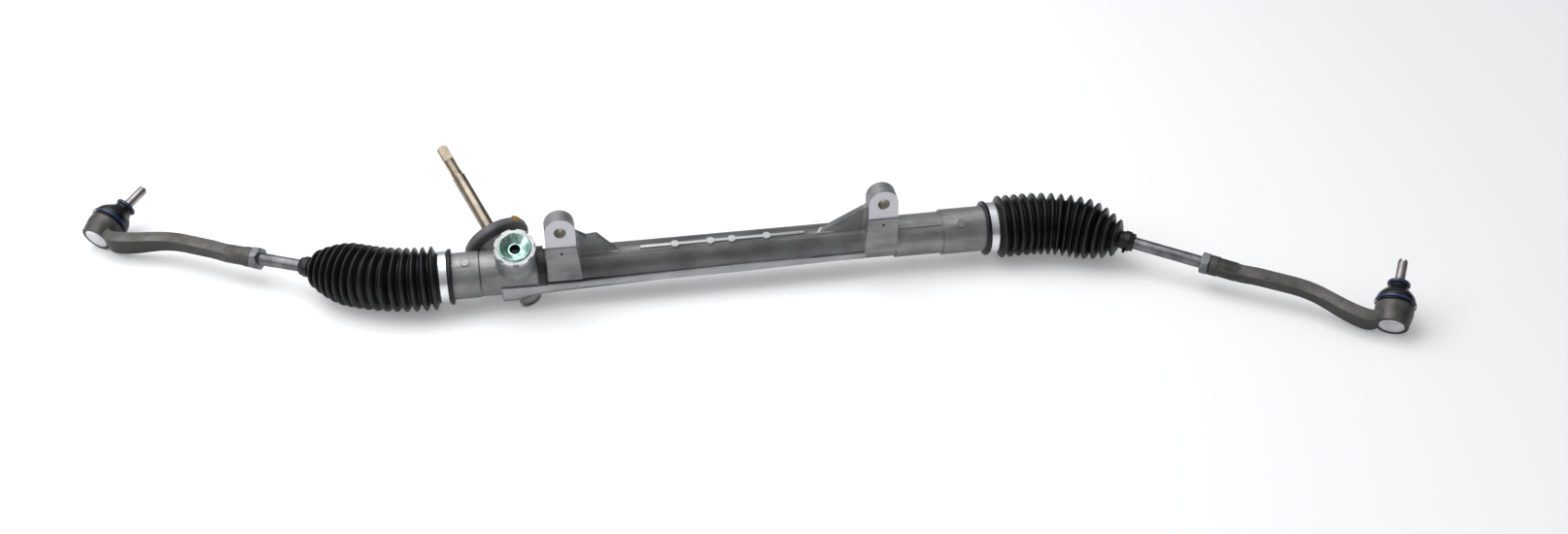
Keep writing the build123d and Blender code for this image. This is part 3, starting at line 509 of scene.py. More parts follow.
    def tone(self, shader: Shader) -> Socket:
        """Grey of the skin, with clouds and streaks, darkened between the lugs by painted shade.

        Args:
            shader: The tree to add to.

        Returns:
            The colour socket.
        """
        drawn = shader.node("Mapping", Vector=shader.coordinates, Scale=self.streak).outputs["Vector"]
        clouds = shader.product(shader.noise(28, 5), 0.55)
        mixed = shader.math("ADD", clouds, shader.product(shader.noise(9, 4, 0.6, drawn), 0.45))
        skin = shader.ramp(mixed, 0.34, 0.68, self.dark, self.light)
        shaded_tones = [tuple(channel * self.stain for channel in shade) for shade in (self.dark, self.light)]
        shaded_skin = shader.ramp(mixed, 0.34, 0.68, *shaded_tones)
        base = shader.blend(self.near(shader, 0.0, self.stain_ends), skin, shaded_skin)
        # Painted highlight along the parting ridge and its pips.
        return shader.blend(self.raised(shader), base, self.ridge)

    def build(self) -> Material:
        """Lay out the nodes.

        Returns:
            The finished material.
        """
        shader = Shader(self.name)
        pad = self.pad(shader)
        clean = shader.blend(pad, self.tone(shader), self.machined)
        clean = shader.blend(self.round_lugs(shader, 0.0, self.bore_r), clean, self.bored)
        grain = shader.uneven(shader.noise(420, 3), 0.55, 0.42)
        rough = shader.bump(shader.noise(900, 4, 0.6), 0.35, 0.25 * MM)
        lumps = shader.bump(shader.noise(70, 3), 0.25, 0.8 * MM, rough)
        waves = shader.math("SINE", shader.product(shader.place("Y"), 2 * math.pi / self.cut_pitch))
        cuts = shader.product(waves, shader.within("Z", self.tab))
        shader.fix(
            Metallic=0.7,
            Specular_IOR_Level=0.35,
            # Painted shade in the corners, left off where the finish is made without it.
            Base_Color=shader.blend(self.soil(shader), clean, self.grime) if self.soiled else clean,
            Roughness=shader.math("SUBTRACT", grain, shader.product(pad, 0.06)),
            Normal=shader.bump(cuts, 0.5, 0.35 * MM, lumps),
        )
        return shader.material


@dataclass(frozen=True)
class PlatedSteel:
    """Plated or ground steel with fine grain and faint clouding."""

    name: str
    dark: Colour
    light: Colour
    roughness: float = 0.3
    metallic: float = 0.95

    def build(self) -> Material:
        """Lay out the nodes.

        Returns:
            The finished material.
        """
        shader = Shader(self.name)
        grain = shader.noise(1600, 2)
        shader.fix(
            Metallic=self.metallic,
            Base_Color=shader.ramp(shader.noise(60), 0.35, 0.7, self.dark, self.light),
            Roughness=shader.uneven(grain, self.roughness - 0.06, self.roughness + 0.08),
            Normal=shader.bump(grain, 0.12, 0.05 * MM),
        )
        return shader.material


@dataclass(frozen=True)
class Passivated:
    """Zinc passivated green, with swirls of pale and dark that look like a worn mirror."""

    name: str = "green_zinc"
    dark: Colour = (0.19, 0.39, 0.325)
    light: Colour = (0.64, 0.81, 0.73)
    # Painted shade inside the hexagon socket.
    socket: Colour = (0.006, 0.010, 0.010)
    socket_r: Span = (5.9 * MM, 5.5 * MM)
    middle: tuple[float, float, float] = (-214 * MM, RACK.y, RACK.z)
    axis: tuple[float, float, float] = (0, -0.45399, 0.891007)

    def build(self) -> Material:
        """Lay out the nodes, with painted shade inside the hexagon socket.

        Returns:
            The finished material.
        """
        shader = Shader(self.name)
        zinc = shader.ramp(shader.noise(55, 3, 0.5, swirl=2.2), 0.38, 0.66, self.dark, self.light)
        hexagon = shader.span(shader.off_axis(Vector(self.middle), Vector(self.axis)), *self.socket_r)
        shader.fix(
            Metallic=0.95,
            Base_Color=shader.blend(hexagon, zinc, self.socket),
            Roughness=shader.uneven(shader.noise(160, 3), 0.12, 0.24),
            Normal=shader.bump(shader.noise(120, 2), 0.12, 0.4 * MM),
        )
        return shader.material


@dataclass(frozen=True)
class ForgedSteel:
    """Shot-blasted and phosphated forging: grey with a dimpled skin, with painted shade on the faces that
    point down.
    """

    name: str = "forged_steel"
    dark: Colour = (0.052, 0.050, 0.048)
    light: Colour = (0.125, 0.121, 0.116)
    # Colour of the painted shade on faces that point down.
    under: Colour = (0.040, 0.038, 0.036)
    under_facing: Span = (0.35, 0.05)

    def build(self) -> Material:
        """Lay out the nodes.

        Returns:
            The finished material.
        """
        shader = Shader(self.name)
        skin = shader.ramp(shader.noise(45, 5, 0.6), 0.32, 0.72, self.dark, self.light)
        # Painted shade on faces that point down.
        below = shader.span(shader.facing("Z"), *self.under_facing)
        pits = shader.node("TexVoronoi", Vector=shader.coordinates, Scale=700).outputs["Distance"]
        dimples = shader.bump(pits, 0.22, 0.25 * MM)
        shader.fix(
            Metallic=0.55,
            Specular_IOR_Level=0.5,
            Base_Color=shader.blend(below, skin, self.under),
            Roughness=shader.uneven(shader.noise(240, 3), 0.40, 0.52),
            Normal=shader.bump(shader.noise(110, 3), 0.2, 0.5 * MM, dimples),
        )
        return shader.material


@dataclass(frozen=True)
class Rubber:
    """Moulded rubber with a dusty bloom and a soft gloss."""

    name: str
    dark: Colour = (0.004, 0.004, 0.0045)
    light: Colour = (0.010, 0.010, 0.011)
    roughness: float = 0.36

    def build(self) -> Material:
        """Lay out the nodes.

        Returns:
            The finished material.
        """
        shader = Shader(self.name)
        shader.fix(
            Metallic=0.0,
            Specular_IOR_Level=0.32,
            Base_Color=shader.ramp(shader.noise(55), 0.35, 0.75, self.dark, self.light),
            Roughness=shader.uneven(shader.noise(150), self.roughness - 0.07, self.roughness + 0.12),
            Normal=shader.bump(shader.noise(1300, 3), 0.12, 0.08 * MM),
        )
        return shader.material


@dataclass(frozen=True)
class Coat:
    """Smooth coat or moulded plastic with slight clouding."""

    name: str
    colour: Colour
    roughness: float = 0.35
    clouding: float = 0.78

    def build(self) -> Material:
        """Lay out the nodes.

        Returns:
            The finished material.
        """
        shader = Shader(self.name)
        dim = tuple(channel * self.clouding for channel in self.colour)
        shader.fix(
            Metallic=0.0,
            Base_Color=shader.ramp(shader.noise(90, 3), 0.3, 0.7, dim, self.colour),
            Roughness=shader.uneven(shader.noise(400, 3), self.roughness - 0.05, self.roughness + 0.08),
            Normal=shader.bump(shader.noise(900, 2), 0.06, 0.05 * MM),
        )
        return shader.material


Finish = CastAluminium | PlatedSteel | Passivated | ForgedSteel | Rubber | Coat


def built(finish: Finish) -> Material:
    """Dataclass field that builds a finish when the set of finishes is made."""
    return field(default_factory=finish.build)


@dataclass
class Finishes:
    """Every finish of the gear, built once."""

    casting: Material = built(CastAluminium())
    # Paler casting without painted shade; on the rail its brightness is painted light.
    rubbed: Material = built(
        CastAluminium("rubbed_aluminium", (0.30, 0.30, 0.305), (0.47, 0.47, 0.48), stain=1.0, soiled=False)
    )
    forging: Material = built(ForgedSteel())
    bellows: Material = built(Rubber("bellows_rubber"))
    dust: Material = built(Rubber("dust_boot_rubber", roughness=0.3))
    seal: Material = built(Rubber("seal_rubber", (0.085, 0.085, 0.087), (0.155, 0.155, 0.16), 0.5))
    zinc: Material = built(PlatedSteel("zinc_plate", (0.10, 0.102, 0.106), (0.21, 0.214, 0.22), 0.38))
    bright: Material = built(PlatedSteel("bright_plate", (0.70, 0.71, 0.72), (0.88, 0.89, 0.90), 0.32))
    ring: Material = built(PlatedSteel("pale_plate", (0.34, 0.345, 0.35), (0.50, 0.505, 0.51), 0.46, 0.75))
    shaft: Material = built(PlatedSteel("ground_steel", (0.175, 0.146, 0.114), (0.30, 0.255, 0.20), 0.22))
    stud: Material = built(PlatedSteel("stud_steel", (0.22, 0.205, 0.20), (0.38, 0.36, 0.35), 0.32))
    plug: Material = built(Passivated())
    paint: Material = built(Coat("mustard_paint", (0.34, 0.21, 0.04), 0.5))
    blue: Material = built(Coat("blue_coat", (0.012, 0.040, 0.15), 0.3))
    navy: Material = built(Coat("navy_collar", (0.022, 0.026, 0.075), 0.32))
    plastic: Material = built(Coat("bearing_plastic", (0.8, 0.79, 0.74)))
    alloy: Material = built(PlatedSteel("turned_alloy", (0.55, 0.56, 0.57), (0.72, 0.73, 0.74), 0.35))


# Mesh helpers


def mesh_object(name: str, shape: bmesh.types.BMesh, finish: Material) -> Piece:
    """Turn a bmesh into a smooth-shaded object.

    Args:
        name: The object's name.
        shape: The bmesh, which is freed.
        finish: Material of every face.

    Returns:
        The new object, at the origin.
    """
    mesh = bpy.data.meshes.new(name)
    shape.to_mesh(mesh)
    shape.free()
    mesh.materials.append(finish)
    mesh.shade_smooth()
    piece = bpy.data.objects.new(name, mesh)
    bpy.context.scene.collection.objects.link(piece)
    LOG.info("built %s", name)
    return piece


def turned(outline: Points, steps: int) -> bmesh.types.BMesh:
    """Spin a closed outline about Z.

    Args:
        outline: (radius, height) points in metres, in order round the section.
        steps: Faces round the axis.

    Returns:
        A closed bmesh with outward normals.
    """
    shape = bmesh.new()
    verts = [shape.verts.new((radius, 0, height)) for radius, height in outline]
    edges = [shape.edges.new(pair) for pair in zip(verts, verts[1:] + verts[:1])]
    bmesh.ops.spin(
        shape,
        geom=verts + edges,
        cent=(0, 0, 0),
        axis=(0, 0, 1),
        angle=2 * math.pi,
        steps=steps,
        use_merge=True,
    )
    bmesh.ops.remove_doubles(shape, verts=shape.verts, dist=MERGE)
    bmesh.ops.recalc_face_normals(shape, faces=shape.faces)
    return shape


def frame_matrix(origin: Vector, along: Vector, side: Vector) -> Matrix:
    """Matrix that puts local Z along a direction.

    Args:
        origin: Where the local origin goes.
        along: Direction of local Z.
        side: Rough direction of local X.

    Returns:
        The 4x4 matrix.
    """
    z = along.normalized()
    y = z.cross(side).normalized()
    x = y.cross(z)
    matrix = Matrix((x, y, z)).transposed().to_4x4()
    matrix.translation = origin
    return matrix


@dataclass
class DressedNode:
    """Copy of a solid with its edges broken, which stands in for the plain node."""

    node: str
    finish: Material
    edge: float
    flat: float = math.radians(0.4)
    segments: int = 2

    def build(self) -> Piece:
        """Copy the node's mesh, merge it, break its edges and let it stand for the node.

        Returns:
            The dressed copy.
        """
        source = frame["nodes"][self.node]
        shape = bmesh.new()
        shape.from_mesh(source.data)
        bmesh.ops.remove_doubles(shape, verts=shape.verts, dist=MERGE)
        bmesh.ops.dissolve_limit(
            shape, angle_limit=self.flat, verts=shape.verts, edges=shape.edges, delimit={"NORMAL"}
        )
        piece = mesh_object(f"dressed_{self.node}", shape, self.finish)
        piece.data.set_sharp_from_angle(angle=SHARP)
        bevel = piece.modifiers.new("broken_edges", "BEVEL")
        bevel.width = self.edge
        bevel.segments = self.segments
        bevel.limit_method = "ANGLE"
        bevel.angle_limit = SHARP
        bevel.harden_normals = True
        bevel.miter_outer = "MITER_ARC"
        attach(piece, source["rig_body"])
        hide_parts(self.node)
        return piece


def finish_node(node: str, finish: Material) -> None:
    """Give a solid that keeps its own mesh a finish.

    Args:
        node: Name of the solid.
        finish: Material of every face.
    """
    mesh = frame["nodes"][node].data
    mesh.materials.clear()
    mesh.materials.append(finish)


# Layout of one tie rod


@dataclass
class RodLayout:
    """Places and directions of one side, read from the record's joints."""

    hand: Hand
    fall: float = math.radians(2.6)
    end_lean: float = math.radians(6.0)

    def __post_init__(self) -> None:
        """Work out the directions from the joints."""
        word = self.hand.word
        nod = Vector(joint(f"rod_nod_{word}")["axis"])
        tilt = joint(f"stud_tilt_{word}")
        level = nod.cross(Vector((0, 0, 1))).normalized()
        self.inner: Vector = Vector(joint(f"rod_swing_{word}")["pos_m"])
        self.along: Vector = level * math.cos(self.fall) - Vector((0, 0, math.sin(self.fall)))
        self.across: Vector = Vector(tilt["axis"]).normalized()
        self.up: Vector = self.across.cross(self.along).normalized()
        self.ball: Vector = Vector(tilt["pos_m"])
        self.stud: Vector = Vector(joint(f"stud_spin_{word}")["axis"]).normalized()
        self.end: Vector = Matrix.Rotation(self.end_lean, 3, self.across) @ self.up
        self.outward: Vector = Vector((self.hand.value, 0, 0))

    def rod_matrix(self, station: float) -> Matrix:
        """Matrix with Z along the rod at a distance from the inner ball."""
        return frame_matrix(self.inner + self.along * station, self.along, self.up)

    def stud_matrix(self, height: float) -> Matrix:
        """Matrix with Z along the stud at a height above the outer ball."""
        return frame_matrix(self.ball + self.stud * height, self.stud, self.across)


# Boots


@dataclass
class BellowsBoot:
    """Folded rubber boot, built in three lengths named for the rod's slide, swing and nod."""

    layout: RodLayout
    finish: Material
    slide_folds: int
    swing_folds: int
    mouth: float = 298 * MM
    lap: float = 18 * MM
    length: float = 167 * MM
    bend: float = 36 * MM
    folds: int = 15
    ridge: float = 33.3 * MM
    depth: float = 7.4 * MM
    wall: float = 1.5 * MM
    lip: float = 29 * MM
    lip_width: float = 4 * MM
    lip_soft: float = 0.8 * MM
    seat: float = 26.4 * MM
    inner: float = 24.3 * MM
    fold_start: float = 15 * MM
    fold_round: float = 0.72
    nudge: float = 1.0001
    collar: float = 9.6 * MM
    collar_length: float = 15 * MM
    collar_soft: float = 0.6 * MM
    bore: float = 6.8 * MM
    step: float = 0.5 * MM
    tapering: int = 5
    taper_curve: float = 1.6
    taper_end: float = 0.6
    around: int = 96
    per_fold: int = 12

    def __post_init__(self) -> None:
        """Work out the pitch of the folds and the bend of the centre line."""
        self.fold_end = self.length - self.collar_length
        self.pitch = (self.fold_end - self.fold_start) / self.folds
        self.angle = self.layout.outward.angle(self.layout.along)
        self.radius = self.bend / math.tan(self.angle / 2)
        reach = abs(self.layout.inner.x)
        self.bend_start = reach - self.bend - (self.mouth - self.lap)

    def station(self, length: float) -> Matrix:
        """Matrix square to the centre line at a length from the lip.

        Args:
            length: Distance along the centre line.

        Returns:
            Matrix whose Z runs along the centre line.
        """
        out = self.layout.outward
        inward = (self.layout.along - out * self.layout.along.dot(out)).normalized()
        past = length - self.bend_start
        if past <= 0:
            origin, normal = self.layout.inner - out * (self.bend - past), out
        elif past < self.radius * self.angle:
            turn = past / self.radius
            origin = self.layout.inner - out * (self.bend - self.radius * math.sin(turn))
            origin = origin + inward * self.radius * (1 - math.cos(turn))
            normal = out * math.cos(turn) + inward * math.sin(turn)
        else:
            origin = self.layout.inner + self.layout.along * (self.bend + past - self.radius * self.angle)
            normal = self.layout.along
        return frame_matrix(origin, normal, out.cross(inward))

    def crest(self, fold: float) -> float:
        """Outer radius at a fold; the last folds narrow to the rod.

        Args:
            fold: Number of the fold, from the lip.

        Returns:
            The radius.
        """
        past = max(0.0, fold - (self.folds - self.tapering)) / (self.tapering + 0.5)
        slim = self.collar + self.depth * self.taper_end
        return slim + (self.ridge - slim) * (1 - past ** self.taper_curve)

    def fold_radius(self, length: float) -> float:
        """Outer radius at a length within the folds.

        Args:
            length: Distance along the centre line.

        Returns:
            The radius.
        """
        turns = (length - self.fold_start) / self.pitch
        wave = 0.5 - 0.5 * math.cos(2 * math.pi * turns)
        peak = self.crest(math.floor(turns * self.nudge) if turns < self.folds else self.folds)
        following = self.crest(min(self.folds, math.floor(turns) + 1))
        local = peak + (following - peak) * (turns - math.floor(turns)) * 0.5
        valley = max(local - self.depth, self.collar)
        return valley + (local - valley) * wave ** self.fold_round

    def outline(self, first: float, last: float) -> Points:
        """Section of one length of the boot, outside then back along the inside.

        Args:
            first: Fold where the length starts; -1 starts at the lip.
            last: Fold where it ends; the number of folds ends at the collar.

        Returns:
            (radius, length) points.
        """
        outside: Points = []
        inside: Points = []
        if first < 0:
            soft = self.lip_soft
            outside += [(self.lip - soft, 0), (self.lip, soft), (self.lip, self.lip_width - soft)]
            outside += [(self.lip - soft, self.lip_width), (self.seat, self.lip_width + self.step)]
            outside += [(self.seat, self.fold_start - 5 * self.step)]
            inside += [(self.inner, 0), (self.inner, self.lap + self.step)]
            first = 0
        count = int((last - first) * self.per_fold)
        for index in range(count + 1):
            length = self.fold_start + (first + index / self.per_fold) * self.pitch
            radius = self.fold_radius(length)
            outside.append((radius, length))
            if length > self.lap + 2 * self.step:
                inside.append((max(radius - self.wall, self.bore), length))
        if last >= self.folds:
            soft, start = self.collar_soft, self.fold_end + 2 * self.step
            outside += [(self.collar, start), (self.collar, self.length - soft)]
            outside += [(self.collar - soft, self.length)]
            inside += [(self.bore, start), (self.bore, self.length)]
        return outside + inside[::-1]

    def stretch(self, name: str, first: float, last: float) -> Piece:
        """Build one length of the boot along the centre line.

        Args:
            name: Word for this length.
            first: Fold where it starts; -1 starts at the lip.
            last: Fold where it ends.

        Returns:
            The piece.
        """
        shape = turned(self.outline(first, last), self.around)
        for vert in shape.verts:
            vert.co = self.station(vert.co.z) @ Vector((vert.co.x, vert.co.y, 0))
        bmesh.ops.recalc_face_normals(shape, faces=shape.faces)
        piece = mesh_object(f"bellows_{name}_{self.layout.hand.word}", shape, self.finish)
        return piece

    def fold_place(self, fold: float) -> Vector:
        """Point of the centre line at the valley before a fold."""
        return self.station(self.fold_start + fold * self.pitch).translation

    def build(self) -> list[Piece]:
        """Build the three lengths and let them stand for the boot.

        Returns:
            The three pieces.
        """
        word = self.layout.hand.word
        turn_fold = self.slide_folds
        nod_fold = turn_fold + self.swing_folds
        slide = self.stretch("slide", -1, turn_fold)
        swing = self.stretch("swing", turn_fold, nod_fold)
        nod = self.stretch("nod", nod_fold, self.folds)
        start = self.station(self.lap + 4 * self.step).translation
        self.fold_place(turn_fold - 0.05)
        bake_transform(slide)
        self.fold_place(turn_fold + 0.05)
        self.fold_place(nod_fold - 0.05)
        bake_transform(swing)
        collar = self.station(self.fold_end).translation
        self.fold_place(nod_fold + 0.05)
        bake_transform(nod)
        pieces = [slide, swing, nod]
        for piece in pieces:
            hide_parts(f"bellows_boot_{word}")
        return pieces


@dataclass
class DustBoot:
    """Bulging rubber boot between the ball housing and the stud."""

    layout: RodLayout
    finish: Material
    base: float = 9 * MM
    foot: float = 19.4 * MM
    height: float = 24 * MM
    neck: float = 9.6 * MM
    neck_band: float = 0.6 * MM
    hole: float = 7.0 * MM
    wall: float = 2.0 * MM
    bead: tuple[Point, ...] = (
        (-0.9, 0.0), (0.0, 0.6), (0.0, 1.6), (-0.7, 2.2), (-0.7, 3.8), (0.3, 4.4)
    )
    lining: tuple[Point, ...] = ((-6.0, 13.2), (-3.4, 4.0), (-3.8, 0.0))
    rows: int = 14
    bulge: float = 1.25
    foot_grip: float = 5 * MM
    neck_grip: float = 1.5 * MM
    around: int = 72

    def beside_foot(self, points: tuple[Point, ...]) -> Points:
        """(radius, height) points from offsets to the foot, given in millimetres."""
        return [(self.foot + out * MM, height * MM) for out, height in points]

    def section(self) -> Points:
        """Section of the wall, outside up and inside down.

        Returns:
            (radius, height) points.
        """
        outside = self.beside_foot(self.bead)
        wide, low = outside[-1]
        for index in range(1, self.rows + 1):
            share = index / self.rows
            swell = 0.5 + 0.5 * math.cos(math.pi * share ** self.bulge)
            rise = (self.height - self.neck_band - low) * share
            outside.append((self.neck + (wide - self.neck) * swell, low + rise))
        outside.append((self.neck, self.height))
        inside = [(self.hole, self.height), (self.hole, self.height - self.wall)]
        return outside + inside + self.beside_foot(self.lining)

    def build(self) -> Piece:
        """Build the boot and lean its neck over with the stud.

        Returns:
            The boot.
        """
        word = self.layout.hand.word
        shape = turned(self.section(), self.around)
        upright = frame_matrix(Vector((0, 0, 0)), self.layout.end, self.layout.across)
        leaning = frame_matrix(Vector((0, 0, 0)), self.layout.stud, self.layout.across)
        for vert in shape.verts:
            share = min(1.0, max(0.0, vert.co.z / self.height))
            share = share * share * (3 - 2 * share)
            spot = vert.co + Vector((0, 0, self.base))
            vert.co = self.layout.ball + (upright @ spot).lerp(leaning @ spot, share)
        bmesh.ops.recalc_face_normals(shape, faces=shape.faces)
        piece = mesh_object(f"dust_boot_{word}", shape, self.finish)
        subdivide = piece.modifiers.new("soft", "SUBSURF")
        subdivide.levels = subdivide.render_levels = 1
        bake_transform(piece)
        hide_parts(f"stud_dust_boot_{word}")
        return piece


# Fine forms laid over the solids


@dataclass
class Thread:
    """Cut screw thread laid over a plain rod."""

    name: str
    body: str
    slot: str
    finish: Material
    place: Matrix
    radius: float
    length: float
    pitch: float = 1.5 * MM
    proud: float = 0.35 * MM
    sunk: float = 0.15 * MM
    crest: Span = (0.42, 0.58)
    around: int = 24

    def build(self) -> Piece:
        """Sweep a V-shaped tooth up a helix.

        Returns:
            The thread.
        """
        turns = self.length / self.pitch - 1
        shape = bmesh.new()
        root, tip = self.radius - self.sunk, self.radius + self.proud
        corners = [(root, 0), *((tip, self.pitch * share) for share in self.crest), (root, self.pitch)]
        verts = [shape.verts.new((radius, 0, height)) for radius, height in corners]
        edges = [shape.edges.new(pair) for pair in zip(verts, verts[1:])]
        steps = int(self.around * turns)
        bmesh.ops.spin(
            shape,
            geom=verts + edges,
            cent=(0, 0, 0),
            axis=(0, 0, 1),
            dvec=(0, 0, self.pitch * turns / steps),
            angle=2 * math.pi * turns,
            steps=steps,
            use_merge=False,
        )
        bmesh.ops.recalc_face_normals(shape, faces=shape.faces)
        bmesh.ops.transform(shape, matrix=self.place, verts=shape.verts)
        piece = mesh_object(self.name, shape, self.finish)
        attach(piece, self.body)
        return piece


@dataclass
class Spline:
    """Fine splines round the pinion shaft's end, cut away at the clamp flat."""

    finish: Material
    teeth: int = 40
    per_tooth: int = 4
    radius: float = 5.7 * MM
    start: float = 141.5 * MM
    flat_start: float = 160.5 * MM
    end: float = 177.5 * MM
    flat: float = 3.6 * MM
    depth: float = 0.4 * MM
    sunk: float = 0.1 * MM
    sharp: float = math.radians(25)

    def ring(self, name: str, low: float, high: float, limit: float) -> Piece:
        """Raise a ridge for every tooth between two heights.

        Args:
            name: The object's name.
            low: Height where the ridges start.
            high: Height where they end.
            limit: How far the ring may reach on the side of the flat.

        Returns:
            The ring, laid on the shaft.
        """
        foot, axis = pinion_axis()
        flat_side = Vector((1, 0, 0)).cross(axis).normalized()
        shape = bmesh.new()
        bmesh.ops.create_circle(shape, segments=self.teeth * self.per_tooth, radius=self.radius)
        for index, vert in enumerate(shape.verts):
            lift = self.depth if index % self.per_tooth in (1, 2) else -self.sunk
            vert.co *= (self.radius + lift) / self.radius
            vert.co.x = min(vert.co.x, limit)
        grown = bmesh.ops.extrude_edge_only(shape, edges=list(shape.edges))["geom"]
        top = [item for item in grown if isinstance(item, bmesh.types.BMVert)]
        bmesh.ops.translate(shape, vec=(0, 0, high - low), verts=top)
        bmesh.ops.holes_fill(shape, edges=[edge for edge in shape.edges if edge.is_boundary])
        bmesh.ops.recalc_face_normals(shape, faces=shape.faces)
        laid = frame_matrix(foot + axis * low, axis, flat_side)
        bmesh.ops.transform(shape, matrix=laid, verts=shape.verts)
        piece = mesh_object(name, shape, self.finish)
        piece.data.set_sharp_from_angle(angle=self.sharp)
        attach(piece, "pinion")
        return piece

    def build(self) -> list[Piece]:
        """Cut the splines below the flat and beside it.

        Returns:
            Both rings.
        """
        whole = self.ring("shaft_splines", self.start, self.flat_start, 2 * self.radius)
        beside = self.ring("shaft_splines_beside_flat", self.flat_start, self.end, self.flat)
        return [whole, beside]


@dataclass
class PaintDab:
    """Dab of marking paint on the rim of the tower ring."""

    finish: Material
    out: Vector = field(default_factory=lambda: Vector((0.651, -0.076, 0.756)))
    rim: float = 35.3 * MM
    height: float = 50.5 * MM
    size: tuple[float, float, float] = (6.0 * MM, 4.2 * MM, 0.8 * MM)
    ragged: float = 0.12
    lobes: int = 3
    phase: float = 0.6

    def build(self) -> Piece:
        """Flatten a ball into a dab and lay it on the rim.

        Returns:
            The dab.
        """
        foot, axis = pinion_axis()
        wide, deep, thick = self.size
        shape = bmesh.new()
        bmesh.ops.create_icosphere(shape, subdivisions=3, radius=1.0)
        for vert in shape.verts:
            x, y, z = vert.co
            swell = 1 + self.ragged * math.sin(self.lobes * math.atan2(y, x) + self.phase)
            vert.co = Vector((x * wide * swell, y * deep * swell, z * thick))
        spot = foot + axis * self.height + self.out.normalized() * self.rim
        laid = frame_matrix(spot, self.out, axis.cross(self.out))
        bmesh.ops.transform(shape, matrix=laid, verts=shape.verts)
        piece = mesh_object("marking_dab", shape, self.finish)
        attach(piece, "housing")
        return piece


@dataclass
class TowerRing:
    """Rubber ring round the tower's flange, with its lip swollen and lifted as it lies in use."""

    finish: Material
    node: str = "pinion_tower_ring"
    lip: float = 31 * MM
    swell: float = 1.6 * MM
    lift: float = 2.6 * MM
    edge: float = 0.8 * MM

    def build(self) -> Piece:
        """Copy the ring, push its lip out and up, and let it stand for the node.

        Returns:
            The ring.
        """
        piece = DressedNode(self.node, self.finish, self.edge).build()
        foot, axis = pinion_axis()
        shape = bmesh.new()
        shape.from_mesh(piece.data)
        for vert in shape.verts:
            away = vert.co - foot
            out = away - axis * away.dot(axis)
            if out.length > self.lip:
                vert.co += out.normalized() * self.swell + axis * self.lift
        shape.to_mesh(piece.data)
        shape.free()
        return piece


@dataclass
class RubbedRail:
    """Rail along the lower front of the tube, proud of the left shoulder at its toe, in a paler casting
    whose brightness is painted light.
    """

    finish: Material
    toe_front: float = 24.0 * MM
    slope: float = 0.0071
    depth: float = 11 * MM
    edge: float = 0.9 * MM
    segments: int = 3
    toe: Point = (-231.3 * MM, -4.9 * MM)
    upper: tuple[Point, ...] = ((-148 * MM, -6.0 * MM), (14 * MM, -2.8 * MM), (150 * MM, -3.0 * MM))
    lower: tuple[Point, ...] = ((150 * MM, -9.5 * MM), (14 * MM, -12.0 * MM), (-148 * MM, -12.2 * MM))
    belly: tuple[Point, ...] = ((-190 * MM, -13.7 * MM), (-214 * MM, -18.5 * MM), (-229.5 * MM, -18.5 * MM))

    def corner(self, x: float, z: float) -> tuple[float, float, float]:
        """Point of the rail's front at a station, z being measured from the rack's axis."""
        return x, RACK.y - self.toe_front + (x - self.toe[0]) * self.slope, RACK.z + z

    def build(self) -> Piece:
        """Extrude the rail's outline back into the tube and break its edges.

        Returns:
            The rail.
        """
        shape = bmesh.new()
        outline = (self.toe, *self.upper, *self.lower, *self.belly)
        face = shape.faces.new([shape.verts.new(self.corner(x, z)) for x, z in outline])
        grown = bmesh.ops.extrude_face_region(shape, geom=[face], use_keep_orig=True)["geom"]
        back = [item for item in grown if isinstance(item, bmesh.types.BMVert)]
        bmesh.ops.translate(shape, vec=(0, self.depth, 0), verts=back)
        bmesh.ops.recalc_face_normals(shape, faces=shape.faces)
        bmesh.ops.bevel(
            shape,
            geom=list(shape.edges),
            offset=self.edge,
            affect="EDGES",
            segments=self.segments,
            profile=0.5,
            material=-1,
        )
        bmesh.ops.triangulate(shape, faces=[face for face in shape.faces if len(face.verts) > 4])
        piece = mesh_object("rail_front", shape, self.finish)
        piece.data.set_sharp_from_angle(angle=SHARP)
        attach(piece, "housing")
        return piece


# The whole gear


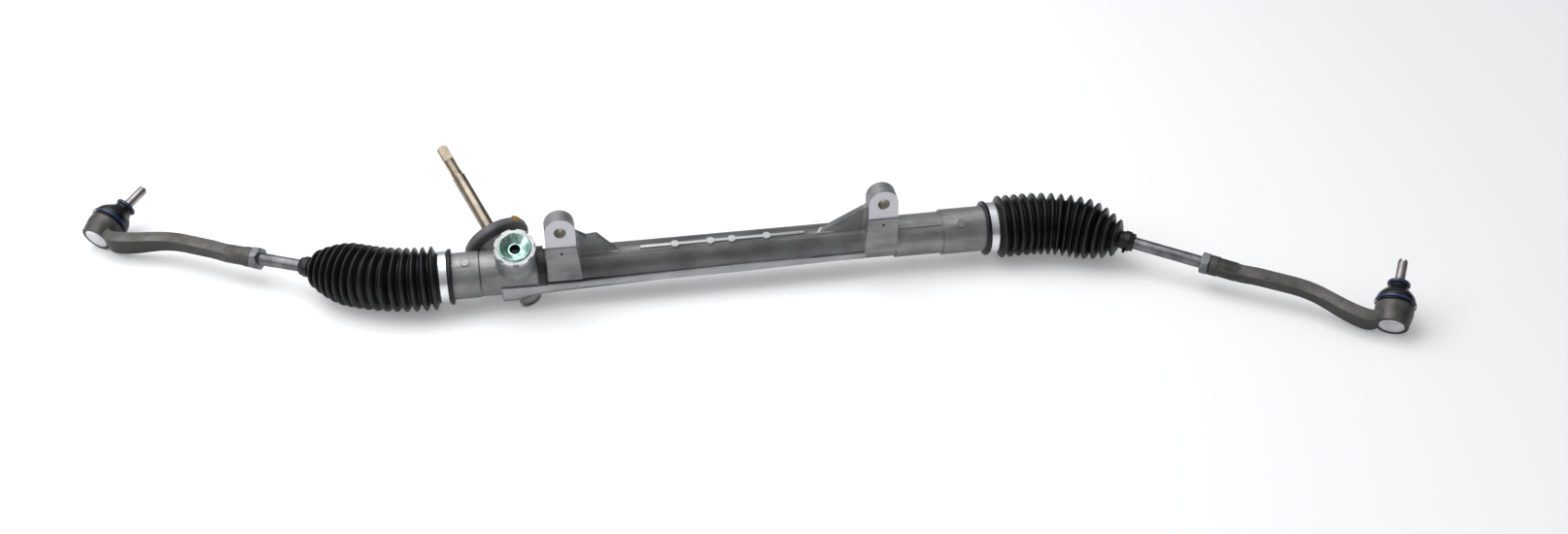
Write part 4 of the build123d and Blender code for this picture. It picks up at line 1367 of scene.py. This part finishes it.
@dataclass
class Gear:
    """The whole steering gear: what each node wears and what is laid over it."""

    finishes: Finishes
    boot_folds: dict = field(default_factory=lambda: {Hand.LEFT: (5, 5), Hand.RIGHT: (8, 4)})
    stud_thread: tuple[float, float, float] = (39.5 * MM, 4.8 * MM, 20 * MM)
    rod_thread: tuple[float, float, float] = (140 * MM, 6.4 * MM, 18 * MM)

    def dress(self) -> None:
        """Break the edges of every node that shows and give it its finish."""
        kit = self.finishes
        dressed = {
            "housing": (kit.casting, 0.5 * MM),
            "pinion_shaft": (kit.shaft, 0.4 * MM),
            "yoke_plug": (kit.plug, 0.4 * MM),
            "yoke_lock_ring": (kit.ring, 0.4 * MM),
            "pinion_end_plug": (kit.rubbed, 0.4 * MM),
        }
        paired = {
            "tie_rod": (kit.zinc, 0.3 * MM),
            "jam_nut": (kit.zinc, 0.3 * MM),
            "rod_end": (kit.forging, 0.5 * MM),
            "ball_joint_cap": (kit.alloy, 0.3 * MM),
            "ball_stud": (kit.stud, 0.3 * MM),
            "boot_band": (kit.bright, 0.2 * MM),
            "boot_clip": (kit.dust, 0.2 * MM),
            "dust_boot_ring": (kit.blue, 0.2 * MM),
            "dust_boot_collar": (kit.navy, 0.3 * MM),
        }
        for name, choice in paired.items():
            dressed.update({f"{name}_{hand.word}": choice for hand in Hand})
        for node, (finish, edge) in dressed.items():
            DressedNode(node, finish, edge).build()

    def finish_hidden(self) -> None:
        """Give the nodes that lie inside their finishes."""
        kit = self.finishes
        plain = [
            (kit.plastic, ["rack_bush", "yoke_pad"]),
            (kit.seal, ["pinion_seal", "yoke_o_ring"]),
            (kit.alloy, ["rack_yoke", "pinion_bearing_retainer"]),
            (kit.shaft, ["rack", "pinion_bearing_inner_ring", "pinion_bearing_outer_ring"]),
            (kit.zinc, ["pinion_bearing_balls", "pinion_circlip", "pinion_needle_bush", "yoke_spring"]),
        ]
        for hand in Hand:
            plain.append((kit.zinc, [f"inner_joint_socket_{hand.word}", f"socket_lock_washer_{hand.word}"]))
            plain.append((kit.plastic, [f"inner_ball_seat_{hand.word}", f"stud_seat_{hand.word}"]))
        for finish, nodes in plain:
            for node in nodes:
                finish_node(node, finish)

    def rods(self) -> None:
        """Boots and threads of both sides."""
        kit = self.finishes
        for hand in Hand:
            layout, word = RodLayout(hand), hand.word
            BellowsBoot(layout, kit.bellows, *self.boot_folds[hand]).build()
            DustBoot(layout, kit.dust).build()
            height, *sizes = self.stud_thread
            place = layout.stud_matrix(height)
            Thread(f"stud_screw_{word}", f"ball_stud_{word}", "stud_steel", kit.stud, place, *sizes).build()
            station, *sizes = self.rod_thread
            place = layout.rod_matrix(station)
            Thread(f"rod_screw_{word}", f"tie_rod_{word}", "zinc", kit.zinc, place, *sizes).build()

    def build(self) -> None:
        """Build everything."""
        self.dress()
        self.finish_hidden()
        self.rods()
        TowerRing(self.finishes.seal).build()
        RubbedRail(self.finishes.rubbed).build()
        Spline(self.finishes.shaft).build()
        PaintDab(self.finishes.paint).build()


# Stage


@dataclass(frozen=True)
class Lamp:
    """One square soft lamp, aimed at the object.

    Places and sizes are in metres, power in watts.
    """

    name: str
    place: tuple[float, float, float]
    size: float
    power: float

    def hang(self) -> None:
        """Add the lamp to the scene."""
        light = bpy.data.lights.new(self.name, "AREA")
        light.size = self.size
        light.energy = self.power
        piece = bpy.data.objects.new(self.name, light)
        piece.location = self.place
        piece.rotation_euler = (-Vector(self.place)).to_track_quat("-Z", "Y").to_euler()
        bpy.context.scene.collection.objects.link(piece)


@dataclass
class Studio:
    """Pale table, soft light and the camera at the photograph's viewpoint."""

    table: float
    half_width: float = 6.0
    glow: float = 0.22
    near_white: Colour = (0.80, 0.80, 0.81)
    # Table colour towards +X, darker as painted light falloff.
    far_white: Colour = (0.68, 0.68, 0.685)
    fade: Span = (0.1, 0.9)
    sky: Vector = field(default_factory=lambda: Vector((-0.5, 0.05, 0.87)))
    sky_colour: Colour = (0.95, 0.97, 1.0)
    sky_turn: Span = (-0.1, 0.95)
    sky_strength: Span = (0.05, 0.8)
    lamps: tuple[Lamp, ...] = (
        Lamp("overhead", (-0.7, 0.5, 2.0), 2.2, 42),
        Lamp("left", (-2.0, -0.5, 1.3), 1.2, 9),
    )
    eye: Vector = field(default_factory=lambda: Vector((-0.18530, -1.55628, 1.06278)))
    aim: Vector = field(default_factory=lambda: Vector((0.12781, 0.80237, -0.58298)))
    lens: float = 42.38
    sensor: float = 36.0
    clip: float = 0.01

    def camera(self) -> None:
        """Place the camera."""
        lens = bpy.data.cameras.new("camera")
        lens.lens = self.lens
        lens.sensor_width = self.sensor
        lens.sensor_fit = "HORIZONTAL"
        lens.clip_start = self.clip
        piece = bpy.data.objects.new("camera", lens)
        bpy.context.scene.collection.objects.link(piece)
        side = self.aim.cross(Vector((0, 0, 1))).normalized()
        up = side.cross(self.aim).normalized()
        turn = Matrix((side, up, -self.aim)).transposed().to_4x4()
        turn.translation = self.eye
        piece.matrix_world = turn
        bpy.context.scene.camera = piece

    def floor(self) -> None:
        """Lay the pale table, which glows a little wherever it is seen or mirrored and grows darker towards
        +X as painted light falloff.
        """
        shape = bmesh.new()
        bmesh.ops.create_grid(shape, x_segments=1, y_segments=1, size=self.half_width)
        bmesh.ops.translate(shape, vec=(0, 0, self.table), verts=shape.verts)
        shader = Shader("pale_table")
        seen = shader.node("LightPath").outputs
        rays = (seen[f"Is {kind} Ray"] for kind in ("Camera", "Glossy", "Transmission"))
        shader.fix(
            Roughness=0.7,
            Specular_IOR_Level=0.2,
            Base_Color=shader.ramp(shader.place("X"), *self.fade, self.near_white, self.far_white),
            Emission_Color=(1.0, 1.0, 1.0, 1.0),
            Emission_Strength=shader.product(shader.largest(*rays), self.glow),
        )
        piece = mesh_object("table", shape, shader.material)
        piece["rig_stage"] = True

    def light(self) -> None:
        """World that is brightest overhead and to the left, and the lamps."""
        world = bpy.data.worlds.new("room")
        bpy.context.scene.world = world
        world.use_nodes = True
        nodes, links = world.node_tree.nodes, world.node_tree.links
        facing = nodes.new("ShaderNodeVectorMath")
        facing.operation = "DOT_PRODUCT"
        facing.inputs[1].default_value = self.sky.normalized()
        links.new(nodes.new("ShaderNodeTexCoord").outputs["Generated"], facing.inputs[0])
        dome = nodes.new("ShaderNodeMapRange")
        keys = ("From Min", "From Max", "To Min", "To Max")
        for key, value in zip(keys, self.sky_turn + self.sky_strength):
            dome.inputs[key].default_value = value
        links.new(facing.outputs["Value"], dome.inputs["Value"])
        links.new(dome.outputs["Result"], nodes["Background"].inputs["Strength"])
        nodes["Background"].inputs["Color"].default_value = (*self.sky_colour, 1.0)
        for lamp in self.lamps:
            lamp.hang()

    def build(self) -> None:
        """Build the stage."""
        bpy.context.scene.view_settings.view_transform = "Standard"
        self.camera()
        self.floor()
        self.light()


def main() -> None:
    """Dress the gear and set the stage, with the table at the gear's lowest point."""
    logging.basicConfig(level=logging.INFO, format="%(name)s: %(message)s")
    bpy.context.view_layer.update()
    Gear(Finishes()).build()
    Studio(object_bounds()[0][2]).build()


if __name__ == "__main__":
    main()
